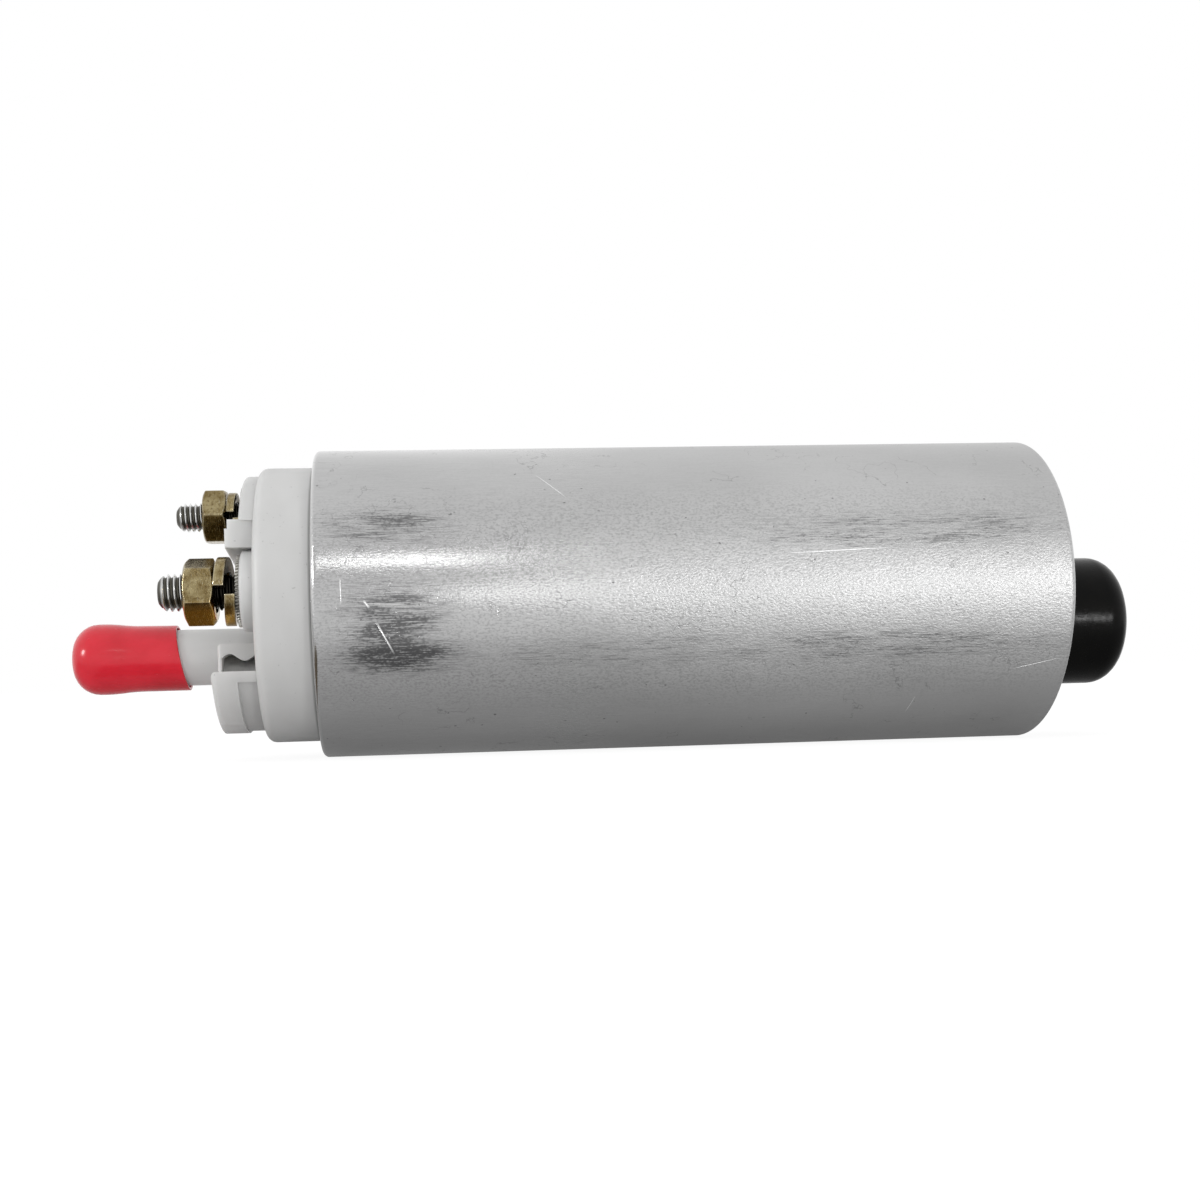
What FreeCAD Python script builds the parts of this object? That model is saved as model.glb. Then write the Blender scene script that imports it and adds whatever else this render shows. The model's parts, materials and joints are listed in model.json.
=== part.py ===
import FreeCAD, Part

import math
import os
import re

import Sketcher
from FreeCAD import Placement, Rotation, Vector

# Electric in-line fuel pump, sizes in millimetres.
# The origin lies on the can's axis at the middle of the can's length. +X runs
# along the axis from the outlet end to the inlet end, and +Z is up.

document = FreeCAD.newDocument("fuel_pump")
sheet = document.addObject("Spreadsheet::Sheet", "dims")

SIZES = {
    # how far a drill or a cutter runs past the face it leaves
    "overrun": 1.0,
    # rolled aluminium can
    "can_length": 101.4,
    "can_radius": 21.5,
    "can_wall": 1.25,
    "can_corner": 0.8,
    "lip_thick": 1.3,
    "lip_width": 2.0,
    "press_gap": 0.05,
    # outlet cover, moulded
    "cover_reach": 7.65,
    "lip_gap": 0.3,
    "drum_corner": 1.2,
    "cover_wall": 3.0,
    "cover_skirt": 11.0,
    "skirt_wall": 3.8,
    "form_corner": 0.5,
    "tier_inset": 1.1,
    "tier_height": 1.95,
    "tier_lap": 0.2,
    "rib_height": 3.75,
    "rib_setback": 0.35,
    "rib_setback_level": 9.6,
    "rib_near": -14.2,
    "rib_far": 13.0,
    "rib_low": 7.1,
    "rib_top": 10.8,
    "rib_fall": 0.14,
    "pad_radius": 5.4,
    "pad_height": 1.8,
    "boss_radius": 5.6,
    # outlet tube
    "tube_side": 4.0,
    "tube_level": -6.9,
    "tube_radius": 4.0,
    "tube_reach": 25.5,
    "tube_bore": 2.3,
    "bead_rise": 0.2,
    "bead_length": 4.0,
    "bead_setback": 0.8,
    # block and shroud below the outlet tube
    "block_reach": 6.0,
    "block_near": -7.0,
    "block_far": 8.0,
    "block_top": -5.35,
    "shroud_inset": 1.1,
    "shroud_top": -9.2,
    "shroud_rim": 1.45,
    "shroud_corner": 0.9,
    "shroud_recess": 0.6,
    "recess_width": 2.55,
    "lip_level": -16.4,
    "lip_setback": 0.3,
    "window_setback": 0.55,
    "window_low": -9.1,
    "window_middle": -7.22,
    "window_wave": 0.47,
    "window_peak": 1.1,
    "window_period": 4.0,
    "wave_steps": 12,
    # terminal studs with their nuts and washers
    "plus_inset": 4.4,
    "plus_level": 1.45,
    "plus_radius": 2.5,
    "plus_pitch_radius": 2.24,
    "plus_reach": 12.7,
    "plus_flats": 8.0,
    "plus_nut": 4.0,
    "plus_nut_angle": 9.3,
    "plus_head_radius": 4.0,
    "plus_lock_radius": 4.6,
    "plus_lock_thick": 1.4,
    "plus_lock_rise": 1.5,
    "plus_star_radius": 4.8,
    "minus_side": -3.0,
    "minus_inset": 4.1,
    "minus_radius": 2.0,
    "minus_pitch_radius": 1.77,
    "minus_reach": 11.4,
    "minus_flats": 7.0,
    "minus_nut": 3.2,
    "minus_nut_angle": 30.0,
    "minus_head_radius": 3.5,
    "minus_lock_radius": 3.35,
    "minus_lock_thick": 1.1,
    "minus_lock_rise": 0.9,
    "minus_star_radius": 4.0,
    "star_thick": 0.5,
    "star_teeth": 30,
    "star_tooth": 0.35,
    "washer_gap": 0.1,
    "washer_cut_angle": 14.0,
    "stud_head": 1.5,
    "stud_chamfer": 0.6,
    "thread_gap": 0.3,
    "nut_face_share": 0.95,
    "nut_bevel": 0.09,
    "spot_gap": 0.3,
    # check valve in the outlet tube
    "check_bore": 2.9,
    "check_depth": 7.2,
    "check_seat_length": 2.15,
    "check_seat_bore": 1.7,
    "poppet_radius": 2.5,
    "poppet_thick": 1.2,
    "poppet_stem": 1.1,
    "poppet_stem_length": 1.6,
    "check_wire": 0.4,
    "check_turns": 5,
    # pressure relief valve in the block
    "relief_side": -2.5,
    "relief_level": -9.9,
    "relief_bore": 3.0,
    "relief_boss": 4.6,
    "relief_inner": 6.0,
    "relief_throat": 1.4,
    "relief_land": 1.2,
    "ball_radius": 2.0,
    "cup_floor": 1.5,
    "cup_drain": 0.8,
    "cup_wall": 0.6,
    "cup_length": 6.6,
    "relief_wire": 0.5,
    "relief_turns": 6,
    "relief_spring_seat": 1.2,
    "valve_gap": 0.03,
    # seals
    "seal_wire": 1.0,
    "seal_groove": 2.6,
    "seal_squeeze": 0.05,
    "outlet_seal_depth": 5.0,
    "inlet_seal_depth": 8.3,
    # shaft with its bushes and washers
    "shaft_radius": 2.0,
    "shaft_gap": 0.03,
    "bush_radius": 4.0,
    "bush_length": 6.3,
    "shaft_end_gap": 0.3,
    "washer_thick": 0.5,
    "washer_radius": 3.6,
    # brush holder, brushes and suppression chokes
    "holder_flange": 2.0,
    "holder_bore": 8.6,
    "box_wall": 1.2,
    "box_clear": 0.9,
    "box_inset": 0.4,
    "box_back": 1.0,
    "flow_angle": 56.0,
    "brush_width": 5.0,
    "brush_spring_length": 3.75,
    "brush_gap": 0.1,
    "brush_run": 0.05,
    "brush_wire": 0.5,
    "brush_turns": 3,
    "lead_radius": 0.35,
    "lead_inset": 1.75,
    "lead_bend": 1.0,
    "lead_angle": 96.0,
    "lead_depth": 1.0,
    "lead_slot": 1.2,
    "lead_travel": 1.5,
    "choke_radius": 1.5,
    "choke_coil": 2.6,
    "choke_collar": 1.5,
    # commutator and armature
    "commutator_radius": 7.0,
    "commutator_gap": 0.3,
    "commutator_length": 10.6,
    "riser_radius": 8.2,
    "riser_length": 1.7,
    "bar_count": 8,
    "bar_slot": 0.5,
    "bar_depth": 1.0,
    "winding_gap": 0.55,
    "winding_clear": 0.4,
    "slot_radius": 2.6,
    "slot_depth": 4.4,
    "slot_mouth": 1.4,
    "wire_gap": 0.2,
    "winding_overhang": 5.0,
    "winding_inset": 1.4,
    "winding_inner": 4.6,
    "winding_corner": 1.6,
    # magnets in their steel flux ring
    "flux_wall": 2.0,
    "magnet_gap": 0.6,
    "magnet_thick": 3.85,
    "magnet_over": 3.0,
    "magnet_angle": 140.0,
    "clip_thick": 0.6,
    "clip_leg": 2.2,
    "clip_leg_angle": 2.6,
    "clip_angle": 36.0,
    "clip_inset": 3.0,
    # gerotor pump
    "plate_thick": 5.0,
    "ring_width": 9.0,
    "rotor_gap": 0.04,
    "inner_teeth": 6,
    # the lobes' ring over the eccentricity, and over the lobes' radius
    "eccentric_ratio": 10,
    "lobe_set": 1.5,
    "lobe_ratio": 3.142857,
    "mesh_gap": 0.06,
    "root_gap": 0.15,
    "rotor_steps": 14,
    "ring_wall": 1.5,
    "ring_gap": 0.06,
    "rotor_bore_gap": 0.3,
    "port_width": 2.6,
    "port_inset": 1.2,
    "port_angle": 110.0,
    "coupling_radius": 5.5,
    "coupling_length": 3.0,
    "coupling_gap": 0.1,
    "dog_ring": 4.35,
    "dog_radius": 1.0,
    "dog_reach": 6.0,
    "dog_gap": 0.15,
    "screw_count": 3,
    "screw_clear": 0.3,
    "screw_radius": 1.5,
    "screw_gap": 0.1,
    "screw_head_radius": 2.3,
    "screw_head": 1.8,
    "screw_socket": 1.2,
    "screw_grip": 6.0,
    # inlet cover with its spigot and strainer
    "inlet_depth": 13.6,
    "nose_height": 0.9,
    "inlet_level": -4.8,
    "spigot_radius": 7.9,
    "spigot_reach": 12.85,
    "spigot_hold": 4.3,
    "spigot_bore": 6.0,
    "inlet_floor": 9.2,
    "strainer_thick": 0.8,
    "strainer_setback": 6.5,
    "strainer_pore": 0.55,
    "strainer_pitch": 1.65,
    # protective caps
    "outlet_cap_wall": 0.4,
    "outlet_cap_gap": 0.05,
    "outlet_cap_grip": 15.3,
    "outlet_bulb_rise": 0.35,
    "outlet_bulb_length": 5.6,
    "outlet_bulb_blend": 1.8,
    "outlet_tip": 1.8,
    "outlet_tip_corner": 3.4,
    "inlet_cap_wall": 1.3,
    "inlet_cap_gap": 0.05,
    "inlet_cap_clear": 1.0,
    "inlet_cap_tip": 1.6,
    "inlet_cap_corner": 3.6,
}

# Places that several pieces share, worked out from the sizes above.
PLACES = {
    "outlet_end": "-can_length / 2",
    "inlet_end": "can_length / 2",
    "bore_radius": "can_radius - can_wall",
    "insert_radius": "bore_radius - press_gap",
    "lip_radius": "can_radius - lip_width",
    "drum_radius": "lip_radius - lip_gap",
    # the stack that the two rolled lips clamp, from the outlet end
    "stack_start": "outlet_end + lip_thick",
    "skirt_end": "stack_start + cover_skirt",
    "holder_end": "skirt_end + holder_flange",
    "stack_end": "inlet_end - lip_thick",
    "inlet_start": "stack_end - inlet_depth",
    "ring_start": "inlet_start - ring_width",
    "plate_start": "ring_start - plate_thick",
    # outlet cover
    "cavity_radius": "insert_radius - skirt_wall",
    "tier_radius": "drum_radius - tier_inset",
    "tier_level": "(rib_top + rib_fall * rib_near) * cos(atan(rib_fall)) - tier_lap",
    "shroud_radius": "drum_radius - shroud_inset",
    "cover_face": "outlet_end - cover_reach",
    "cavity_face": "cover_face + cover_wall",
    "tier_face": "cover_face - tier_height",
    "pad_face": "cover_face - pad_height",
    "rib_face": "cover_face - rib_height",
    "block_face": "cover_face - block_reach",
    "tube_end": "cover_face - tube_reach",
    "bush_start": "skirt_end + washer_thick - bush_length",
    "boss_end": "bush_start + bush_length",
    "relief_seat": "cavity_face + relief_inner - relief_land",
    "check_end": "cavity_face - check_seat_length - check_depth",
    # terminals
    "plus_side": "plus_inset - cavity_radius",
    "minus_level": "cavity_radius - minus_inset",
    "plus_star_face": "pad_face - star_thick",
    "plus_lock_face": "plus_star_face - plus_lock_thick - plus_lock_rise",
    "plus_nut_face": "plus_lock_face - plus_nut",
    "minus_star_face": "tier_face - star_thick",
    "minus_lock_face": "minus_star_face - minus_lock_thick - minus_lock_rise",
    "minus_nut_face": "minus_lock_face - minus_nut",
    # rotating parts
    "washer_start": "boss_end + washer_thick / 2",
    "commutator_start": "washer_start + washer_thick + commutator_gap",
    "commutator_end": "commutator_start + commutator_length",
    "flux_radius": "insert_radius - flux_wall",
    "magnet_outer": "flux_radius - press_gap",
    "magnet_inner": "magnet_outer - magnet_thick",
    "core_radius": "magnet_inner - magnet_gap",
    "slot_ring": "core_radius - slot_depth",
    "winding_outer": "core_radius - winding_inset",
    "coupling_end": "plate_start - coupling_gap",
    "coupling_start": "coupling_end - coupling_length",
    "core_start": "commutator_end + winding_gap + winding_overhang",
    "core_end": "coupling_start - winding_clear - winding_overhang",
    "core_length": "core_end - core_start",
    "magnet_start": "core_start - magnet_over",
    "magnet_length": "core_length + 2 * magnet_over",
    "brush_middle": "holder_end + box_wall + brush_gap + brush_width / 2",
    "box_reach": "flux_radius - box_clear",
    "brush_seat": "box_reach - box_back - brush_spring_length",
    "lead_ring": "brush_seat - lead_inset",
    "shaft_start": "bush_start + shaft_end_gap",
    "shaft_end": "inlet_start + bush_length",
    "dog_end": "ring_start + dog_reach",
    # pump
    "screw_ring": "flux_radius - screw_head_radius - screw_clear",
    "rotor_radius": "screw_ring - screw_radius - screw_gap - ring_wall",
    "lobe_ring": "rotor_radius - lobe_set",
    "eccentricity": "lobe_ring / eccentric_ratio",
    "lobe_radius": "lobe_ring / lobe_ratio",
    "port_outer": "lobe_ring - port_inset",
    "port_inner": "port_outer - port_width",
    # inlet
    "nose_face": "stack_end + nose_height",
    "spigot_end": "nose_face + spigot_reach",
    "outlet_cap_radius": "tube_radius + bead_rise + outlet_cap_gap",
    "outlet_cap_end": "tube_end - outlet_tip",
    "inlet_cap_radius": "spigot_radius + inlet_cap_gap",
    "inlet_cap_end": "spigot_end + inlet_cap_tip",
}

for row, (alias, value) in enumerate(SIZES.items(), start=1):
    sheet.set(f"A{row}", alias)
    sheet.set(f"B{row}", str(value))
    sheet.setAlias(f"B{row}", alias)
document.recompute()


def formula(text):
    """A formula in the sheet's words, with shared places written out."""

    def swap(match):
        word = match.group()
        if word in PLACES:
            return f"({formula(PLACES[word])})"
        return f"dims.{word}" if word in SIZES else word

    return re.sub(r"[A-Za-z_]\w*", swap, str(text))


def number(text):
    """The value of a formula, in millimetres or degrees."""
    return float(sheet.evalExpression(formula(text)))


def bind(thing, path, text):
    """Ties one property of an object to a formula."""
    thing.setExpression(path, formula(text))


ALONG_X = Rotation(Vector(0, 1, 0), 90)
# two places closer than this are the same place
SAME = 1e-4
nodes = []


def node(thing, name):
    """Marks an object as one of the pump's pieces, under its own name."""
    thing.Label = name
    nodes.append(thing)
    return thing


def place(thing, x="0", y="0", z="0"):
    """Ties an object's place to three formulas."""
    for axis, text in zip("xyz", (x, y, z)):
        bind(thing, f"Placement.Base.{axis}", text)


def rod(name, start, length, radius, y="0", z="0"):
    """A round bar along X from its left end."""
    bar = document.addObject("Part::Cylinder", name)
    bar.Placement = Placement(Vector(), ALONG_X)
    bind(bar, "Height", length)
    bind(bar, "Radius", radius)
    place(bar, start, y, z)
    return bar


def wedge(name, start, length, radius, turn, sweep):
    """A sector of a round bar, turned from -Z towards +Y about the pump's axis."""
    bar = rod(name, start, length, radius)
    bind(bar, "Angle", sweep)
    bar.Placement = Placement(Vector(), Rotation(Vector(1, 0, 0), number(turn)) * ALONG_X)
    place(bar, start)
    return bar


def brick(name, start, end):
    """A box between two corners, each given as three formulas."""
    box = document.addObject("Part::Box", name)
    for side, low, high in zip(("Length", "Width", "Height"), start, end):
        bind(box, side, f"({high}) - ({low})")
    place(box, *start)
    return box


def cut(name, base, *tools):
    """The base with each tool taken out of it."""
    for index, tool in enumerate(tools):
        part = document.addObject("Part::Cut", f"{name}_{index}")
        part.Base = base
        part.Tool = tool
        base = part
    return base


def fuse(name, *parts):
    """Several overlapping forms as one solid."""
    part = document.addObject("Part::MultiFuse", name)
    part.Shapes = list(parts)
    return part


def common(name, base, tool):
    """What two forms share."""
    part = document.addObject("Part::Common", name)
    part.Base = base
    part.Tool = tool
    return part


def group(name, parts):
    """Separate solids that share one piece's name."""
    part = document.addObject("Part::Compound", name)
    part.Links = parts
    return part


def new_sketch(body, name, role, offset=None):
    """A sketch on one of the body's own origin planes."""
    sketch = body.newObject("Sketcher::SketchObject", name)
    plane = next(item for item in body.Origin.OriginFeatures if item.Role == role)
    sketch.AttachmentSupport = (plane, [""])
    sketch.MapMode = "FlatFace"
    if offset is not None:
        bind(sketch, "AttachmentOffset.Base.z", offset)
    return sketch


def draw_outline(sketch, points):
    """A closed outline of straight lines through points given as formulas."""
    spots = [Vector(number(across), number(up), 0) for across, up in points]
    count = len(spots)
    for index in range(count):
        line = Part.LineSegment(spots[index], spots[(index + 1) % count])
        sketch.addGeometry(line, False)
    for index in range(count):
        sketch.addConstraint(Sketcher.Constraint("Coincident", index, 2, (index + 1) % count, 1))
    for index, (across, up) in enumerate(points):
        tie(sketch, "DistanceX", index, across, spots[index].x, -2)
        tie(sketch, "DistanceY", index, up, spots[index].y, -1)


def tie(sketch, kind, index, text, value, axis):
    """Holds the start of a line at a distance from the sketch's origin."""
    if text == "0":
        sketch.addConstraint(Sketcher.Constraint("PointOnObject", index, 1, axis))
        return
    which = sketch.addConstraint(Sketcher.Constraint(kind, -1, 1, index, 1, value))
    bind(sketch, f"Constraints[{which}]", text)


def turned(name, points, rounds=()):
    """A body turned about X from an outline of (x, radius) formulas.

    Each round is (x, radius, size) and softens the circular edge found there.
    """
    body = document.addObject("PartDesign::Body", name)
    sketch = new_sketch(body, f"{name}_outline", "XY_Plane")
    draw_outline(sketch, points)
    turn = body.newObject("PartDesign::Revolution", f"{name}_turn")
    turn.Profile = sketch
    turn.ReferenceAxis = (sketch, ["H_Axis"])
    turn.Angle = 360
    body.Tip = turn
    document.recompute()
    for index, (x, radius, size) in enumerate(rounds):
        soften(body, f"{name}_round_{index}", ring_edges(body, x, radius), size)
    return body


def ring_edges(body, x, radius):
    """Names of the body's edges that circle X at a place and radius."""
    names = []
    for index, edge in enumerate(body.Tip.Shape.Edges, start=1):
        if not isinstance(edge.Curve, Part.Circle):
            continue
        at_place = abs(edge.Curve.Center.x - number(x)) < SAME
        if at_place and abs(edge.Curve.Radius - number(radius)) < SAME:
            names.append(f"Edge{index}")
    if not names:
        raise ValueError(f"no edge at {x}, {radius}")
    return names


def soften(body, name, edges, size):
    """Rounds edges or the edges of a face of a body."""
    base = body.Tip
    round_over = body.newObject("PartDesign::Fillet", name)
    round_over.Base = (base, edges)
    bind(round_over, "Radius", size)
    body.Tip = round_over
    document.recompute()


def end_face(body, x):
    """Name of the body's flat face at a place along X."""
    for index, face in enumerate(body.Tip.Shape.Faces, start=1):
        box = face.BoundBox
        if abs(box.XMin - number(x)) < SAME and abs(box.XMax - number(x)) < SAME:
            return f"Face{index}"
    raise ValueError(f"no face at {x}")


def raised(name, points, start, end, size=None):
    """A body padded along X from a straight outline of (y, z) formulas."""
    body = document.addObject("PartDesign::Body", name)
    sketch = new_sketch(body, f"{name}_outline", "YZ_Plane", start)
    draw_outline(sketch, points)
    pad = body.newObject("PartDesign::Pad", f"{name}_pad")
    pad.Profile = sketch
    bind(pad, "Length", f"({end}) - ({start})")
    body.Tip = pad
    document.recompute()
    if size is not None:
        soften(body, f"{name}_round", [end_face(body, start)], size)
    return body


def segment(name, radius, level, upper, start, end, size=None):
    """A body padded along X from the part of a circle above or below a level."""
    body = document.addObject("PartDesign::Body", name)
    sketch = new_sketch(body, f"{name}_outline", "YZ_Plane", start)
    reach, height = number(radius), number(level)
    half = math.sqrt(reach**2 - height**2)
    right = math.atan2(height, half)
    left = math.pi - right
    first, last = (right, left) if upper else (left, right + 2 * math.pi)
    circle = Part.Circle(Vector(), Vector(0, 0, 1), reach)
    sketch.addGeometry(Part.ArcOfCircle(circle, first, last), False)
    side = half if upper else -half
    chord = Part.LineSegment(Vector(-side, height, 0), Vector(side, height, 0))
    sketch.addGeometry(chord, False)
    sketch.addConstraint(Sketcher.Constraint("Coincident", 0, 3, -1, 1))
    sketch.addConstraint(Sketcher.Constraint("Coincident", 0, 2, 1, 1))
    sketch.addConstraint(Sketcher.Constraint("Coincident", 1, 2, 0, 1))
    sketch.addConstraint(Sketcher.Constraint("Horizontal", 1))
    held = sketch.addConstraint(Sketcher.Constraint("Radius", 0, reach))
    bind(sketch, f"Constraints[{held}]", radius)
    held = sketch.addConstraint(Sketcher.Constraint("DistanceY", -1, 1, 1, 1, height))
    bind(sketch, f"Constraints[{held}]", level)
    pad = body.newObject("PartDesign::Pad", f"{name}_pad")
    pad.Profile = sketch
    bind(pad, "Length", f"({end}) - ({start})")
    body.Tip = pad
    document.recompute()
    if size is not None:
        soften(body, f"{name}_round", [end_face(body, start)], size)
    return body


def notched(name, blank, notch_points, notch_start, notch_end, count, circle=None):
    """Cuts one notch into a turned body and repeats it round X."""
    pockets = []
    holes = [("slit", notch_points)] if circle is None else [("slit", notch_points), ("eye", None)]
    for kind, points in holes:
        sketch = new_sketch(blank, f"{name}_{kind}", "YZ_Plane", notch_end)
        if points is not None:
            draw_outline(sketch, points)
        else:
            level, radius = circle
            middle = Vector(0, number(level), 0)
            sketch.addGeometry(Part.Circle(middle, Vector(0, 0, 1), number(radius)), False)
            sketch.addConstraint(Sketcher.Constraint("PointOnObject", 0, 3, -2))
            held = sketch.addConstraint(
                Sketcher.Constraint("DistanceY", -1, 1, 0, 3, number(level))
            )
            bind(sketch, f"Constraints[{held}]", level)
            held = sketch.addConstraint(Sketcher.Constraint("Radius", 0, number(radius)))
            bind(sketch, f"Constraints[{held}]", radius)
        before = blank.Shape.Volume
        pocket = blank.newObject("PartDesign::Pocket", f"{name}_{kind}_pocket")
        pocket.Profile = sketch
        bind(pocket, "Length", f"({notch_end}) - ({notch_start})")
        blank.Tip = pocket
        document.recompute()
        if pocket.Shape.Volume >= before:
            raise ValueError(f"{name}: the pocket cuts nothing")
        pockets.append(pocket)
    pattern = blank.newObject("PartDesign::PolarPattern", f"{name}_pattern")
    pattern.Originals = pockets
    axis = next(item for item in blank.Origin.OriginFeatures if item.Role == "X_Axis")
    pattern.Axis = (axis, [""])
    pattern.Angle = 360
    pattern.Occurrences = int(number(count))
    blank.Tip = pattern
    document.recompute()
    return blank


def hexagon(across_flats, turn):
    """Outline points of a nut, with one flat turned up from facing -Y."""
    corners = []
    for index in range(6):
        angle = f"(30 + 60 * {index} + {turn})"
        reach = f"{across_flats} / 2 / cos(30)"
        corners.append((f"-{reach} * cos{angle}", f"{reach} * sin{angle}"))
    return corners


def arc_from(start, tangent, end):
    """The arc that leaves one point along a tangent and ends at another."""
    chord = end - start
    sideways = tangent - chord * (tangent.dot(chord) / chord.dot(chord))
    rise = chord.Length / 2 * math.tan(tangent.getAngle(chord) / 2)
    middle = (start + end) * 0.5 + sideways.normalize() * rise
    return Part.Arc(start, middle, end).toShape()


def helix_path(radius, rise_per_turn, turns, start=0.0, steps_per_turn=4):
    """A helix about X from a place on it, as pairs of arcs that meet smoothly."""
    climb = rise_per_turn / (2 * math.pi)
    edges = []
    knots = []
    for step in range(int(round(turns * steps_per_turn)) + 1):
        angle = 2 * math.pi * step / steps_per_turn
        across, up = -radius * math.cos(angle), radius * math.sin(angle)
        spot = Vector(start + climb * angle, across, up)
        ahead = Vector(climb, radius * math.sin(angle), radius * math.cos(angle))
        knots.append((spot, ahead.normalize()))
    for (here, leaving), (there, arriving) in zip(knots, knots[1:]):
        span = there - here
        both = leaving + arriving
        spread = 2 * (1 - leaving.dot(arriving))
        reach = span.dot(both)
        handle = (math.sqrt(reach**2 + spread * span.dot(span)) - reach) / spread
        joint = (here + there + (leaving - arriving) * handle) * 0.5
        onward = joint - (here + leaving * handle)
        edges.append(arc_from(here, leaving, joint))
        edges.append(arc_from(joint, onward.normalize(), there))
    return Part.Wire(edges)


def least_gap(path, turns, thick):
    """The least gap between the wire's turns, measured on points along it."""
    per_turn = 24
    spots = path.discretize(Number=int(turns * per_turn) + 1)
    gaps = []
    for index, spot in enumerate(spots):
        for other in spots[index + per_turn // 2 :]:
            gaps.append(spot.distanceToPoint(other) - thick)
    return min(gaps)


def round_section(path, radius):
    """A circle square to a path at its start."""
    first = path.Edges[0]
    middle = first.valueAt(first.FirstParameter)
    ahead = first.tangentAt(first.FirstParameter)
    return Part.Wire([Part.Circle(middle, ahead, radius).toShape()])


def swept(path, section, fixed_axis=None):
    """A solid from a section carried along a path."""
    shell = Part.BRepOffsetAPI.MakePipeShell(path)
    if fixed_axis is not None:
        shell.setBiNormalMode(fixed_axis)
    shell.add(section)
    shell.build()
    shell.makeSolid()
    return shell.shape()


def coil(name, radius, wire, length, turns, placement):
    """A wound spring between two flat seats, its wire one unbroken tube."""
    thick = number(wire)
    count = number(turns)
    rise = (number(length) - thick) / count
    ring = number(radius)
    path = helix_path(ring, rise, count, start=thick / 2)
    spring = document.addObject("Part::Feature", name)
    spring.Shape = swept(path, round_section(path, thick / 2))
    spring.Placement = placement
    print(f"{name}: least gap between turns {least_gap(path, count, thick):.2f} mm")
    return spring


def split_washer(name, outer, inner, thick, rise, placement):
    """A split spring washer: one turn of flat wire that climbs as it goes round."""
    open_angle = number("washer_cut_angle")
    share = (360 - open_angle) / 360
    high, low, body = number(outer), number(inner), number(thick)
    path = helix_path((high + low) / 2, number(rise) / share, share, steps_per_turn=4 / share)
    start = path.Edges[0].valueAt(path.Edges[0].FirstParameter)
    corners = []
    for across, along in ((low, 0), (high, 0), (high, body), (low, body), (low, 0)):
        corners.append(Vector(start.x + along, -across, start.z))
    washer = document.addObject("Part::Feature", name)
    washer.Shape = swept(path, Part.makePolygon(corners), Vector(1, 0, 0))
    washer.Placement = placement
    return washer


def star_washer(name, outer, inner, start, y, z):
    """A thin washer with a toothed rim."""
    teeth = int(number("star_teeth"))
    tip = number(outer)
    root = tip - number("star_tooth")
    corners = []
    for index in range(2 * teeth + 1):
        angle = math.pi * index / teeth
        reach = tip if index % 2 else root
        corners.append(Vector(0, reach * math.cos(angle), reach * math.sin(angle)))
    thick = number("star_thick")
    shape = Part.Face(Part.makePolygon(corners)).extrude(Vector(thick, 0, 0))
    shape = shape.cut(Part.makeCylinder(number(inner), thick, Vector(), Vector(1, 0, 0)))
    washer = document.addObject("Part::Feature", name)
    washer.Shape = shape
    washer.Placement = Placement(Vector(number(start), number(y), number(z)), Rotation())
    return washer


def build_can():
    """The aluminium can, its two ends rolled in over what it holds."""
    outline = [
        ("outlet_end", "lip_radius"),
        ("outlet_end", "can_radius"),
        ("inlet_end", "can_radius"),
        ("inlet_end", "lip_radius"),
        ("stack_end", "lip_radius"),
        ("stack_end", "bore_radius"),
        ("stack_start", "bore_radius"),
        ("stack_start", "lip_radius"),
    ]
    rounds = [
        ("outlet_end", "can_radius", "can_corner"),
        ("inlet_end", "can_radius", "can_corner"),
    ]
    node(turned("can", outline, rounds), "can")


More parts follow.
